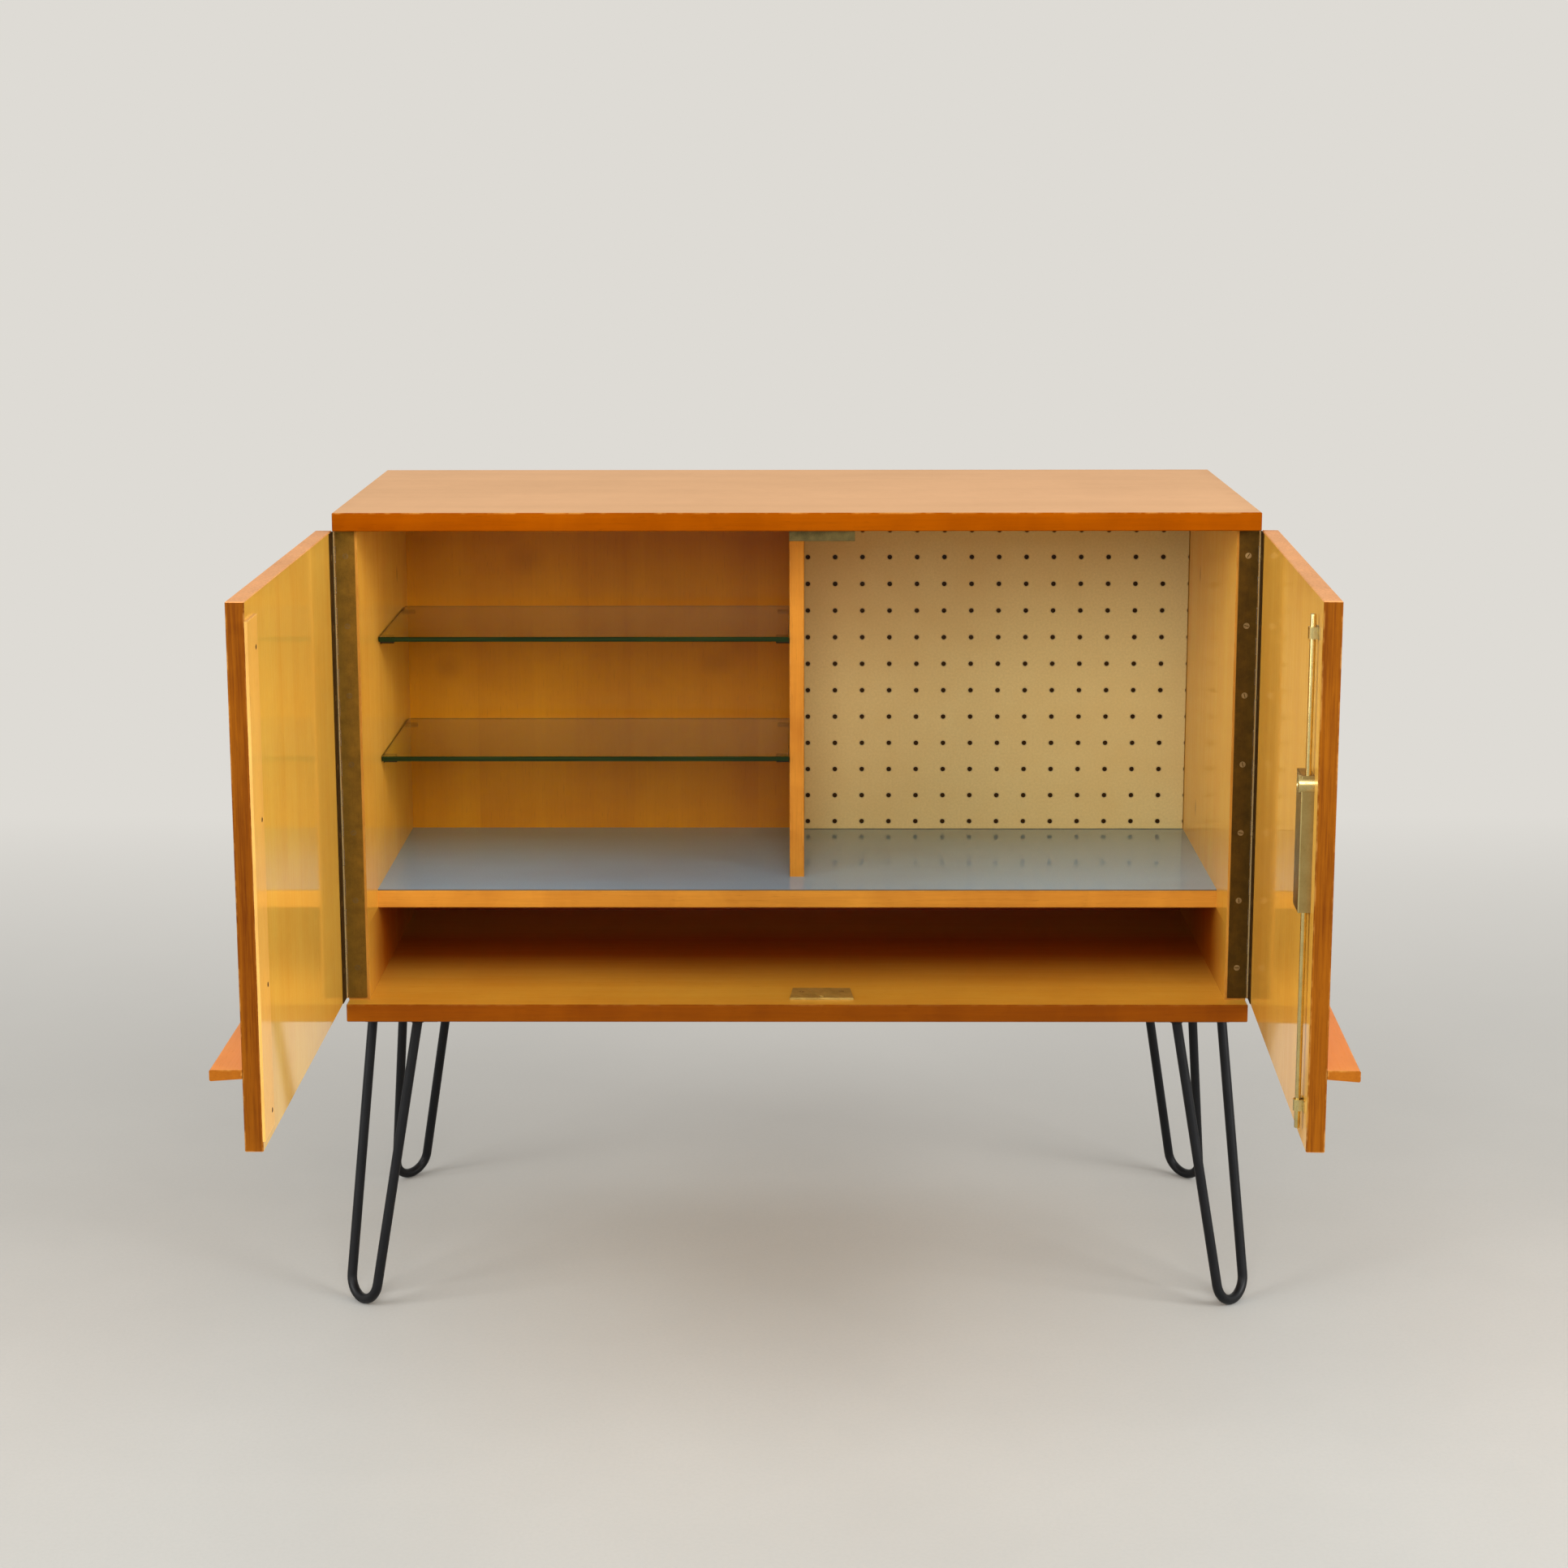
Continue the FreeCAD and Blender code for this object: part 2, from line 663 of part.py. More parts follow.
def strike_plate(face, outward):
    """A strike plate on a board's inner face; outward is the way from the board into the cabinet."""
    y0 = door_inner + strike_clear
    y1 = y0 + strike_deep
    wide = strike_width / 2
    narrow = wide - strike_taper
    outline = polygon([Vector(rod_x - wide, y0, face), Vector(rod_x + wide, y0, face),
                       Vector(rod_x + narrow, y1, face), Vector(rod_x - narrow, y1, face)])
    return Part.Face(outline).extrude(Vector(0, 0, outward * strike))


def strike_screws(face, outward):
    """The screws of one strike plate."""
    y0 = door_inner + strike_clear
    places = [Vector(rod_x + x, y0 + y, face + outward * strike) for x, y in strike_screw_spots]
    return group([screw(strike_screw, place, Vector(0, 0, -outward)) for place in places])


def make_strikes():
    """The plates that the lock rods shoot into; the upper one has a lip that hangs behind the doors."""
    y0 = door_inner + strike_clear
    hole = flat_sided(
        round_sides, strike_hole, Vector(rod_x, rod_y, box_bottom), Vector(rod_x, rod_y, box_top))
    lip = block(rod_x - strike_width / 2, rod_x + strike_width / 2, y0, y0 + strike_lip_thick,
                ceiling - strike_lip, ceiling)
    upper = strike_plate(ceiling, -1).fuse(lip).removeSplitter()
    parts["upper_strike"] = upper.cut(hole).cut(strike_screws(ceiling, -1))
    parts["lower_strike"] = strike_plate(floor_top, 1).cut(hole).cut(strike_screws(floor_top, 1))
    parts["strike_screws"] = group([strike_screws(ceiling, -1), strike_screws(floor_top, 1)])


def leg_point(hand, end, from_side, from_end, z):
    """A point given by its distances in from a corner of the box; end is -1 at the front, 1 at the rear."""
    return Vector(hand * (half - from_side), end * (depth / 2 - from_end), z)


def leg_frame(hand, end):
    """The bend's centre, the way up the leaning leg and the level way across it."""
    lean = math.radians(leg_lean)
    outward = Vector(hand, end, 0).normalize()
    across = Vector(hand, -end, 0).normalize()
    upward = outward * -math.sin(lean) + Vector(0, 0, math.cos(lean))
    head = leg_point(hand, end, leg_inset, leg_inset, box_bottom - leg_plate)
    centre_z = leg_bend * math.cos(lean) + leg_rod / 2
    centre = head - upward * ((head.z - centre_z) / math.cos(lean))
    return centre, upward, across, head


def hairpin_leg(hand, end):
    """One rod bent into a hairpin: two runs that part as they rise, joined by a round bend at the floor."""
    centre, upward, across, head = leg_frame(hand, end)
    rise = (head - centre).Length
    reach = math.hypot(leg_spread / 2, rise)
    part_angle = math.atan2(leg_spread / 2, rise) - math.asin(leg_bend / reach)
    spare = leg_rod
    run = math.sqrt(reach ** 2 - leg_bend ** 2) + spare

    def bend_point(way):
        return centre + across * (way * leg_bend * math.cos(part_angle)) - upward * (
            leg_bend * math.sin(part_angle))

    def run_end(way):
        return bend_point(way) + across * (way * run * math.sin(part_angle)) + upward * (
            run * math.cos(part_angle))

    axis = across.cross(upward).normalize()
    pieces = []
    for way in (-1, 1):
        start = bend_point(way)
        along = run_end(way) - start
        outline = corners(leg_sides, leg_rod / 2, start, axis, along.cross(axis).normalize())
        section = Part.Face(polygon(outline))
        pieces.append(section.extrude(along))
        pieces.append(section.revolve(centre, axis, -way * (90 - math.degrees(part_angle))))
    above = block(-width, width, -depth, depth, box_bottom - leg_plate, box_bottom + leg_height)
    return pieces[0].fuse(pieces[1:]).removeSplitter().cut(above)


def leg_screws(hand, end):
    """The screws of one leg plate."""
    places = [leg_point(hand, end, plate_edge + a, plate_edge + b, box_bottom - leg_plate)
              for a, b in leg_screw_spots]
    return group([screw(leg_screw, place, Vector(0, 0, 1)) for place in places])


def leg_top_plate(hand, end):
    """The plate that a leg's two runs are welded to, cut off towards the middle of the box."""
    low = plate_edge
    high = plate_edge + plate_size
    cut = high - plate_cut
    corner = plate_edge + plate_corner
    z = box_bottom - leg_plate
    spots = [(low, corner), (corner, low), (high, low), (high, cut), (cut, high), (low, high)]
    outline = polygon([leg_point(hand, end, a, b, z) for a, b in spots])
    plate = Part.Face(outline).extrude(Vector(0, 0, leg_plate))
    return plate.cut(leg_screws(hand, end))


def make_legs():
    """Four hairpin legs with their plates and screws."""
    screws = []
    for end, end_name in ((-1, "front"), (1, "rear")):
        for hand, hand_name in ((-1, "left"), (1, "right")):
            name = end_name + "_" + hand_name + "_leg"
            parts[name] = hairpin_leg(hand, end)
            parts[name + "_plate"] = leg_top_plate(hand, end)
            screws.append(leg_screws(hand, end))
    parts["leg_screws"] = group(screws)


make_carcass()
make_pegboard()
make_glass()
make_hinges()
make_left_door()
make_right_door()
make_strikes()
make_legs()

os.makedirs("parts", exist_ok=True)
for name, shape in parts.items():
    shape.exportStep("parts/" + name + ".step")
print("wrote", len(parts), "nodes")
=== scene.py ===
"""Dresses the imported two-door storage cabinet: veneer, pegboard, glass, hinges, a rod lock and hairpin legs.

Lengths are in metres in the CAD's frame: X runs to the right as seen from the front, Y to the back, Z up.
What swings with a door is modelled on the shut door and then turned to where the door stands open.
"""

import math
import random

import bmesh
import bpy
from mathutils import Matrix, Vector


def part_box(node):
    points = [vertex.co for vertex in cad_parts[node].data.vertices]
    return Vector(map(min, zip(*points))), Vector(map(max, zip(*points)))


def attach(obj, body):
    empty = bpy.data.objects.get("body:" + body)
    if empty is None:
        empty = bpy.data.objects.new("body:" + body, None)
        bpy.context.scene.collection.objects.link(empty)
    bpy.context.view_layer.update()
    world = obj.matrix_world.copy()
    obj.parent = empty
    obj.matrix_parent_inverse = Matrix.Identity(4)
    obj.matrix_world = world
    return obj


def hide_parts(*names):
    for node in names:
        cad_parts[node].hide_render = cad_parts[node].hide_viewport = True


bl_info = {
    "name": "Storage cabinet on hairpin legs",
    "version": (1, 0, 0),
    "blender": (4, 5, 0),
    "location": "3D View > Sidebar > Cabinet",
    "description": "Builds the visible cabinet around its packed CAD model",
    "category": "Object",
}

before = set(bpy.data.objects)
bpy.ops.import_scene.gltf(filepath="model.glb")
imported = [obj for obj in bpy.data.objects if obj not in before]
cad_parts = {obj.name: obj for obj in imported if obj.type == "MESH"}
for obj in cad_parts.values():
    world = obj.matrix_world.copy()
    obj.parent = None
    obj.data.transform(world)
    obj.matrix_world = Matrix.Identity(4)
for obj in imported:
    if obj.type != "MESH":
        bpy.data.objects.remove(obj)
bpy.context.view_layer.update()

MM = 0.001
TINY = 1e-6
UP = Vector((0, 0, 1))

# Planes of the carcass
(_, FRONT, BOX_BOTTOM), (HALF, REAR, FLOOR_TOP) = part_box("bottom_board")
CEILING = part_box("top_board")[0].z
INNER_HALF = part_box("right_side_panel")[0].x
DIVIDER_HALF = 7.5 * MM
LAMINATE_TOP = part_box("shelf_laminate")[1].z
SHELF_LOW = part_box("middle_shelf")[0].z
BACK_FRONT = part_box("back_panel")[0].y

# The doors
DOOR_INNER = FRONT + 16 * MM
DOOR_BOTTOM = FLOOR_TOP + 1 * MM
DOOR_TOP = CEILING - 1 * MM
OPEN_ANGLE = {-1: math.radians(-90.0), 1: math.radians(87.5)}
SIDE_NAME = {-1: "left", 1: "right"}

# The veneer: knots on the inner side faces, and marks on the back with their reach: small stains, and by the
# divider two large patches of painted shade in its corners; and how much of the edges' red, green and blue is
# left in their figure. Past FLAT, a part of a normal means that a face lies flat.
KNOTS = {-1: ((0.0976, 0.7106),), 1: ((0.0784, 0.7121), (0.0706, 0.4599))}
STAINS_AND_PAINTED_SHADE = (((-0.087, 0.600), 24 * MM), ((-0.386, 0.595), 20 * MM), ((-0.297, 0.715), 26 * MM),
          ((-0.020, 0.440), 110 * MM), ((-0.030, 0.745), 80 * MM))
EDGE_FIGURE = (0.42, 0.28, 0.2)
FLAT = 0.85

# Continuous hinges
LEAF = 0.8 * MM
LEAF_GAP = 0.2 * MM
LEAF_WIDTH = 20.5 * MM
KNUCKLE = 3.6 * MM
KNUCKLE_BORE = 2.1 * MM
KNUCKLE_ROOM = 0.3 * MM
HINGE_X = HALF + KNUCKLE / 2 + 0.1 * MM
HINGE_Y = DOOR_INNER + LEAF + LEAF_GAP / 2
SIDE_FRONT = DOOR_INNER + 2 * LEAF + LEAF_GAP
HINGE_LOW = DOOR_BOTTOM + 1 * MM
HINGE_HIGH = DOOR_TOP - 1 * MM
HINGE_SCREW_LINE = 11.5 * MM
HINGE_SCREW_END = 28 * MM
HINGE_SCREW_RISE = 3.5 * MM
HINGE_SCREWS = 7

# The rod lock
ROD_X = 25 * MM
ROD_Y = DOOR_INNER + 5 * MM
ROD = 5 * MM
ROD_TIP = 14 * MM
TRAVEL = 20 * MM
PITCH_RADIUS = 7 * MM
RACK_BAR = 3 * MM
RACK_THICK = 4 * MM
RACK_REACH = 8 * MM
TOOTH_HIGH = 0.8 * MM
TOOTH_DEEP = 1.05 * MM
TOOTH_PITCH = math.pi * MM
TOOTH_ROOT_HALF = 1.12 * MM
TOOTH_TIP_HALF = 0.45 * MM
GEAR_X = ROD_X + RACK_BAR / 2 + PITCH_RADIUS
GEAR_Z = DOOR_BOTTOM + 264 * MM
CASE_WIDTH = 32 * MM
CASE_HEIGHT = 118 * MM
CASE_DEEP = 11 * MM
CASE_WALL = 1.5 * MM
CASE_LEFT = ROD_X - RACK_BAR / 2 - TOOTH_DEEP - 0.3 * MM - CASE_WALL
HUB = 6 * MM
BARREL = 16 * MM
GUIDE_HEIGHT = 10 * MM
GUIDE_WALL = 1.5 * MM
GUIDE_FOOT = 5 * MM
GUIDE_FOOT_THICK = 1.2 * MM
GUIDE_SPOTS = (DOOR_TOP - 30 * MM, DOOR_BOTTOM + 35 * MM)
KEY_PLATE = 1.2 * MM
KEY_PLATE_WIDTH = 14 * MM
KEY_PLATE_HEIGHT = 32 * MM

# Strike plates
STRIKE_WIDTH = 64 * MM
STRIKE_DEEP = 36 * MM
STRIKE_TAPER = 3 * MM
STRIKE = 2.2 * MM
STRIKE_LIP = 12 * MM
STRIKE_LIP_THICK = 1.2 * MM
STRIKE_CORNER = 2.5 * MM
STRIKE_HOLE = 5.8 * MM
STRIKE_FRONT = DOOR_INNER + 0.9 * MM

# Hairpin legs
LEG_BEND = 21.5 * MM
LEG_SPREAD = 73 * MM
LEG_INSET = 43 * MM
LEG_LEAN = math.radians(10)
LEG_PLATE = 3 * MM
LEG_TOP = BOX_BOTTOM - LEG_PLATE
LEG_PLATE_EDGE = 6 * MM
LEG_PLATE_SIZE = 84 * MM
LEG_PLATE_CUT = 40 * MM
LEG_SCREW_SPOTS = ((16, 16), (42, 42), (74, 36), (36, 74))

# Metals: clean and tarnished colour on a screen, age, metallic share and what the roughness gains.
# The user sets the clean colours that are missing.
METALS = {
    "left_hinge_aged_brass": (None, (98, 70, 18), 0.6, 0.85, 0.26),
    # the right hinge's colours are darker than the left's: painted shade
    "right_hinge_aged_brass": ((92, 64, 12), (64, 44, 8), 0.6, 0.85, 0.26),
    # the door leaves' brass is darker than the frame leaves': painted shade
    "hinge_dark_brass": ((74, 50, 12), (48, 32, 8), 0.8, 0.85, 0.3),
    "hinge_screw_brass": ((122, 94, 46), (92, 68, 28), 0.7, 0.85, 0.2),
    "rubbed_screw_brass": ((156, 130, 86), (112, 88, 52), 0.6, 0.85, 0.15),
    "pin_steel": ((120, 104, 74), (70, 56, 34), 0.6, 1.0, 0.0),
    "dull_pins": (None, (40, 30, 14), 0.6, 0.5, 0.1),
    "lock_brass": (None, (118, 96, 48), 0.45, 0.9, 0.0),
    "rod_brass": ((206, 188, 128), (146, 120, 62), 0.4, 1.0, -0.06),
    "lock_screw_brass": ((222, 196, 130), (130, 104, 56), 0.5, 1.0, 0.0),
    "pinion_brass": ((196, 160, 96), (110, 82, 40), 0.6, 1.0, 0.0),
    "strike_brass": ((196, 164, 84), (156, 126, 56), 0.7, 0.5, 0.2),
    # the upper strike's brass is darker than the lower one's: painted shade under the top board
    "upper_strike_brass": ((112, 98, 54), (66, 56, 26), 0.75, 0.7, 0.15),
    "strike_screw_brass": ((172, 140, 72), (132, 104, 48), 0.6, 0.6, 0.2),
    "strip_screw_steel": ((78, 50, 20), (48, 28, 10), 0.8, 0.5, 0.2),
    "leg_screw_steel": ((96, 96, 98), (52, 50, 48), 0.6, 1.0, 0.0)}


def srgb(red, green, blue):
    """A colour as seen on a screen, 0 to 255, in the linear values that shaders use."""
    def linear(value):
        value /= 255
        return value / 12.92 if value <= 0.04045 else ((value + 0.055) / 1.055) ** 2.4
    return linear(red), linear(green), linear(blue)


def colour_setting(name, description, *screen_colour):
    """A colour that the user can change."""
    return bpy.props.FloatVectorProperty(
        name=name, description=description, subtype="COLOR", size=3, min=0, max=1,
        default=srgb(*screen_colour))


def length_setting(name, description, default):
    """A length that the user can change."""
    return bpy.props.FloatProperty(
        name=name, description=description, default=default, min=0.0, unit="LENGTH", precision=5)


def power_setting(name, description, default):
    """A lamp's power that the user can change."""
    return bpy.props.FloatProperty(
        name=name, description=description, default=default, min=0.0, unit="POWER")


class CabinetSizes(bpy.types.PropertyGroup):
    """Sizes of the finer pieces that the CAD model leaves plain."""

    leg_rod: length_setting("Leg rod", "Diameter of the hairpin legs' steel rod", 10 * MM)
    weld: length_setting("Weld bead", "Width of the weld round the top of each leg run", 2.4 * MM)
    peg_hole: length_setting("Peg hole", "Diameter of the holes in the pegboard", 4.9 * MM)
    peg_pitch: length_setting("Peg rows", "Distance between the pegboard's rows of holes", 29.65 * MM)
    peg_step: length_setting("Peg columns", "Distance between the pegboard's columns of holes", 29.9 * MM)
    knuckles: bpy.props.IntProperty(
        name="Hinge knuckles", description="Number of knuckles along each continuous hinge",
        default=31, min=3)
    glass_arris: length_setting("Glass arris", "Width of the ground bevel on the glass edges", 0.5 * MM)


class CabinetColours(bpy.types.PropertyGroup):
    """Colours of the cabinet's finishes."""

    veneer: colour_setting("Veneer", "Honey-coloured veneer of the boards and the doors", 238, 180, 70)
    figure: colour_setting("Veneer figure", "Darker clouds and lines in the veneer", 214, 144, 40)
    # The top's pale colour is painted sheen: it stands in for the varnish's reflection seen at a low angle.
    top: colour_setting("Top", "Upper face of the top board", 215, 169, 127)
    outer: colour_setting("Outer faces", "Outer faces of the sides and the doors", 224, 151, 72)
    lipping: colour_setting("Lipping", "Solid front edges of the boards", 154, 76, 1)
    back: colour_setting("Back panel", "Plywood back", 220, 144, 16)
    strip: colour_setting("Closing strip", "Pale batten on the left door", 240, 186, 90)
    laminate: colour_setting("Laminate", "Grey-blue sheet on the middle shelf", 150, 190, 224)
    pegboard: colour_setting("Pegboard", "Painted hardboard", 217, 195, 130)
    brass: colour_setting("Lock brass", "Lock case and key plate", 160, 138, 84)
    hinge: colour_setting("Hinge brass", "Dark aged brass of the left hinge", 130, 94, 26)
    steel: colour_setting("Powder coat", "Satin black steel of the legs", 9, 10, 13)
    pins: colour_setting("Shelf pins", "Dull steel of the shelf pins", 60, 48, 26)


class CabinetStage(bpy.types.PropertyGroup):
    """The floor, the lamps and the camera."""

    floor: colour_setting("Floor", "Plain pale floor", 178, 177, 172)
    backdrop: colour_setting("Backdrop", "Colour behind the cabinet", 222, 219, 213)
    left_power: power_setting("Left lamp", "Power of the large lamp at the front left", 88.0)
    right_power: power_setting("Right lamp", "Power of the large lamp at the front right", 116.0)
    fill_power: power_setting("Fill lamp", "Power of the lamp behind the camera", 60.0)
    sky: bpy.props.FloatProperty(
        name="Sky", description="Strength of the even light from all round", default=0.6, min=0.0)
    lens: bpy.props.FloatProperty(
        name="Lens", description="Focal length of the camera", default=66.2, min=1.0, unit="CAMERA")


# Modelling, as by hand

def clear_selection():
    """Leaves edit mode and deselects everything, so that an operator acts only on what comes next."""
    if bpy.context.mode != "OBJECT":
        bpy.ops.object.mode_set(mode="OBJECT")
    bpy.ops.object.select_all(action="DESELECT")


def take(*pieces):
    """Selects pieces, and makes the first one active."""
    clear_selection()
    for piece in pieces:
        piece.select_set(True)
    bpy.context.view_layer.objects.active = pieces[0]


def settle(name):
    """Names the active piece and moves its place into its mesh."""
    piece = bpy.context.object
    piece.name = piece.data.name = name
    bpy.ops.object.transform_apply(location=True, rotation=True, scale=True)
    return piece


def block(name, low, high):
    """A block between two corners, to be shaped further."""
    clear_selection()
    low, high = Vector(low), Vector(high)
    bpy.ops.mesh.primitive_cube_add(size=1, location=(low + high) / 2)
    bpy.context.object.scale = high - low
    return settle(name)


def turned(name, radius, start, end, sides=28, ends="NGON"):
    """A round bar or tube from one point to another."""
    clear_selection()
    start, end = Vector(start), Vector(end)
    way = end - start
    bpy.ops.mesh.primitive_cylinder_add(
        vertices=sides, radius=radius, depth=way.length, end_fill_type=ends,
        location=(start + end) / 2, rotation=way.to_track_quat("Z", "Y").to_euler())
    return settle(name)


def choose(piece, kind, test):
    """Goes into edit mode on a piece and selects its faces, edges or vertices that pass a test."""
    if bpy.context.mode != "EDIT_MESH":
        take(piece)
        bpy.ops.object.mode_set(mode="EDIT")
    bpy.ops.mesh.select_mode(type=kind)
    bpy.ops.mesh.select_all(action="DESELECT")
    shape = bmesh.from_edit_mesh(piece.data)
    parts = {"FACE": shape.faces, "EDGE": shape.edges, "VERT": shape.verts}[kind]
    found = [part for part in parts if test(part)]
    if not found:
        raise RuntimeError("nothing to select on " + piece.name)
    for part in found:
        part.select_set(True)
    shape.select_flush(True)
    bmesh.update_edit_mesh(piece.data)


def extrude(x, y, z):
    """Extrudes what is selected."""
    bpy.ops.mesh.extrude_region_move(TRANSFORM_OT_translate={"value": (x, y, z)})


def leave_edit():
    """Back to object mode."""
    bpy.ops.object.mode_set(mode="OBJECT")


def faces_toward(x, y, z, least=0.9):
    """A test for faces that look in a direction."""
    return lambda face: face.normal.dot((x, y, z)) > least


def edges_at(axis, place, room=TINY):
    """A test for edges that lie in a plane across an axis, which is given by its number."""
    return lambda edge: all(abs(point.co[axis] - place) < room for point in edge.verts)


def sharp_edge(edge, least=0.7):
    """A test for edges where two faces meet at more than an angle, about 40 degrees."""
    return len(edge.link_faces) == 2 and edge.calc_face_angle() > least


def ease(piece, width, test=sharp_edge, segments=2):
    """Rounds the chosen edges."""
    choose(piece, "EDGE", test)
    bpy.ops.mesh.bevel(offset=width, segments=segments, affect="EDGES", clamp_overlap=True)
    leave_edit()
    return piece


def apply_modifier(piece, kind, **settings):
    """Adds a modifier, sets it and applies it."""
    take(piece)
    modifier = piece.modifiers.new(kind.lower(), kind)
    for key, value in settings.items():
        setattr(modifier, key, value)
    bpy.ops.object.modifier_apply(modifier=modifier.name)


def repeat(piece, count, step):
    """Repeats a piece along a step."""
    apply_modifier(piece, "ARRAY", count=count, use_relative_offset=False, use_constant_offset=True,
                   constant_offset_displace=step)


def cut_away(piece, cutter):
    """Takes the cutter's shape out of a piece and deletes the cutter."""
    apply_modifier(piece, "BOOLEAN", operation="DIFFERENCE", solver="EXACT", object=cutter)
    bpy.data.objects.remove(cutter)


def weld_on(piece, other):
    """Unites a piece with another, which is deleted."""
    apply_modifier(piece, "BOOLEAN", operation="UNION", solver="EXACT", object=other)
    bpy.data.objects.remove(other)


def join(name, pieces):
    """Joins pieces into one object."""
    take(*pieces)
    bpy.ops.object.join()
    return settle(name)


def copy_to(piece, matrix, name=None):
    """A copy of a piece, with its own mesh, moved by a matrix."""
    copy = piece.copy()
    copy.data = piece.data.copy()
    copy.name = copy.data.name = name or piece.name
    bpy.context.scene.collection.objects.link(copy)
    copy.data.transform(matrix)
    if matrix.determinant() < 0:
        copy.data.flip_normals()
    return copy


def face_outward(piece):
    """Merges doubled points and turns all faces outward."""
    choose(piece, "VERT", lambda point: True)
    bpy.ops.mesh.remove_doubles(threshold=TINY)
    bpy.ops.mesh.normals_make_consistent(inside=False)
    leave_edit()


def swing(piece, hand):
    """Turns a piece modelled on the shut door to where the door stands open."""
    hinge = Matrix.Translation((hand * HINGE_X, HINGE_Y, 0))
    piece.data.transform(hinge @ Matrix.Rotation(OPEN_ANGLE[hand], 4, "Z") @ hinge.inverted())
    return piece


def two_finishes(piece, first, second, is_second):
    """Gives a piece two materials, the second on the faces that pass a test."""
    piece.data.materials.clear()
    for material in (first, second):
        piece.data.materials.append(material)
    for face in piece.data.polygons:
        face.material_index = 1 if is_second(face) else 0


def hand_over(piece, body, slot, material, *nodes):
    """Gives a finished piece its finish and its body, and hides the CAD nodes that it stands for. Edges of
    less than 35 degrees are shaded smooth."""
    if not piece.data.materials:
        piece.data.materials.append(material)
    take(piece)
    bpy.ops.object.shade_smooth_by_angle(angle=math.radians(35))
    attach(piece, body)
    if nodes:
        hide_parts(*nodes)


# Node materials

class Value:
    """A node's output to reckon with: sums, products and comparisons of it become Math nodes."""

    def __init__(self, socket):
        self.socket, self.tree = socket, socket.id_data

    def __add__(self, other):
        return maths("ADD", self, other)

    def __sub__(self, other):
        return maths("SUBTRACT", self, other)

    def __rsub__(self, other):
        return maths("SUBTRACT", other, self)

    def __mul__(self, other):
        return maths("MULTIPLY", self, other)

    def __truediv__(self, other):
        return maths("DIVIDE", self, other)

    def __gt__(self, other):
        return maths("GREATER_THAN", self, other)

    def __lt__(self, other):
        return maths("LESS_THAN", self, other)

    def __abs__(self):
        return maths("ABSOLUTE", self)

    def held(self):
        """The result just reckoned, held between 0 and 1."""
        self.socket.node.use_clamp = True
        return self

    def length(self):
        """The length of a vector."""
        return add(self.tree, "VectorMath", {0: self}, operation="LENGTH")["Value"]

    def parts(self):
        """The three parts of a vector."""
        outputs = add(self.tree, "SeparateXYZ", {0: self})
        return outputs[0], outputs[1], outputs[2]

    def remap(self, low, high, to_low=0.0, to_high=1.0):
        """The range from low to high moved to another, and held inside it."""
        return add(self.tree, "MapRange", {
            "Value": self, "From Min": low, "From Max": high, "To Min": to_low, "To Max": to_high})[0]


class Outputs:
    """A node's outputs, by name or number."""

    def __init__(self, sockets):
        self.sockets = sockets

    def __getitem__(self, key):
        return Value(self.sockets[key])


def feed(socket, value):
    """Gives a socket another node's output, a number, a vector or a colour."""
    if isinstance(value, Value):
        value.tree.links.new(value.socket, socket)
    elif socket.type == "RGBA":
        socket.default_value = (*value[:3], 1.0)
    else:
        socket.default_value = value


def give(node, feeds):
    """Feeds a node's inputs, by name or number."""
    for key, value in feeds.items():
        feed(node.inputs[key], value)


def add(tree, kind, feeds, **settings):
    """Adds a shader node, sets and feeds it, and returns its outputs."""
    node = tree.nodes.new("ShaderNode" + kind)
    for key, value in settings.items():
        setattr(node, key, value)
    give(node, feeds)
    return Outputs(node.outputs)


def maths(operation, *values):
    """A Math node's output, or a Vector Math node's where a vector or a colour leads the values."""
    lead = next(value for value in values if isinstance(value, Value))
    kind = "Math" if lead.socket.type == "VALUE" else "VectorMath"
    return add(lead.tree, kind, dict(enumerate(values)), operation=operation)[0]


def mix(factor, first, second, how="MIX"):
    """Two colours mixed."""
    tree = next(value.tree for value in (factor, first, second) if isinstance(value, Value))
    return add(tree, "Mix", {0: factor, 6: first, 7: second}, data_type="RGBA", blend_type=how)[2]


def tinted(colour, tint):
    """A node's colour multiplied by another."""
    return mix(1.0, colour, tint, "MULTIPLY")


def scaled(colour, share):
    """A plain colour made darker or paler."""
    return [share * part for part in colour]


def noise(point, scale, detail=2.0, roughness=0.5, distortion=0.0):
    """Noise with its own scale, per metre: one for all axes, or one along each."""
    scales = scale if isinstance(scale, tuple) else (scale,) * 3
    return add(point.tree, "TexNoise", {
        "Vector": point * scales, "Scale": 1.0, "Detail": detail, "Roughness": roughness,
        "Distortion": distortion})[0]


def new_group(name, inputs, outputs):
    """A shader node group; returns what is put in and the sockets for what it puts out."""
    tree = bpy.data.node_groups.new(name, "ShaderNodeTree")
    for in_out, sockets in (("INPUT", inputs), ("OUTPUT", outputs)):
        for socket, kind in sockets.items():
            tree.interface.new_socket(socket, in_out=in_out, socket_type="NodeSocket" + kind)
    return Outputs(tree.nodes.new("NodeGroupInput").outputs), tree.nodes.new("NodeGroupOutput")


def use_group(tree, name, feeds):
    """Places a node group and feeds it; builds it the first time."""
    if name not in bpy.data.node_groups:
        GROUP_BUILDERS[name](name)
    return add(tree, "Group", feeds, node_tree=bpy.data.node_groups[name])


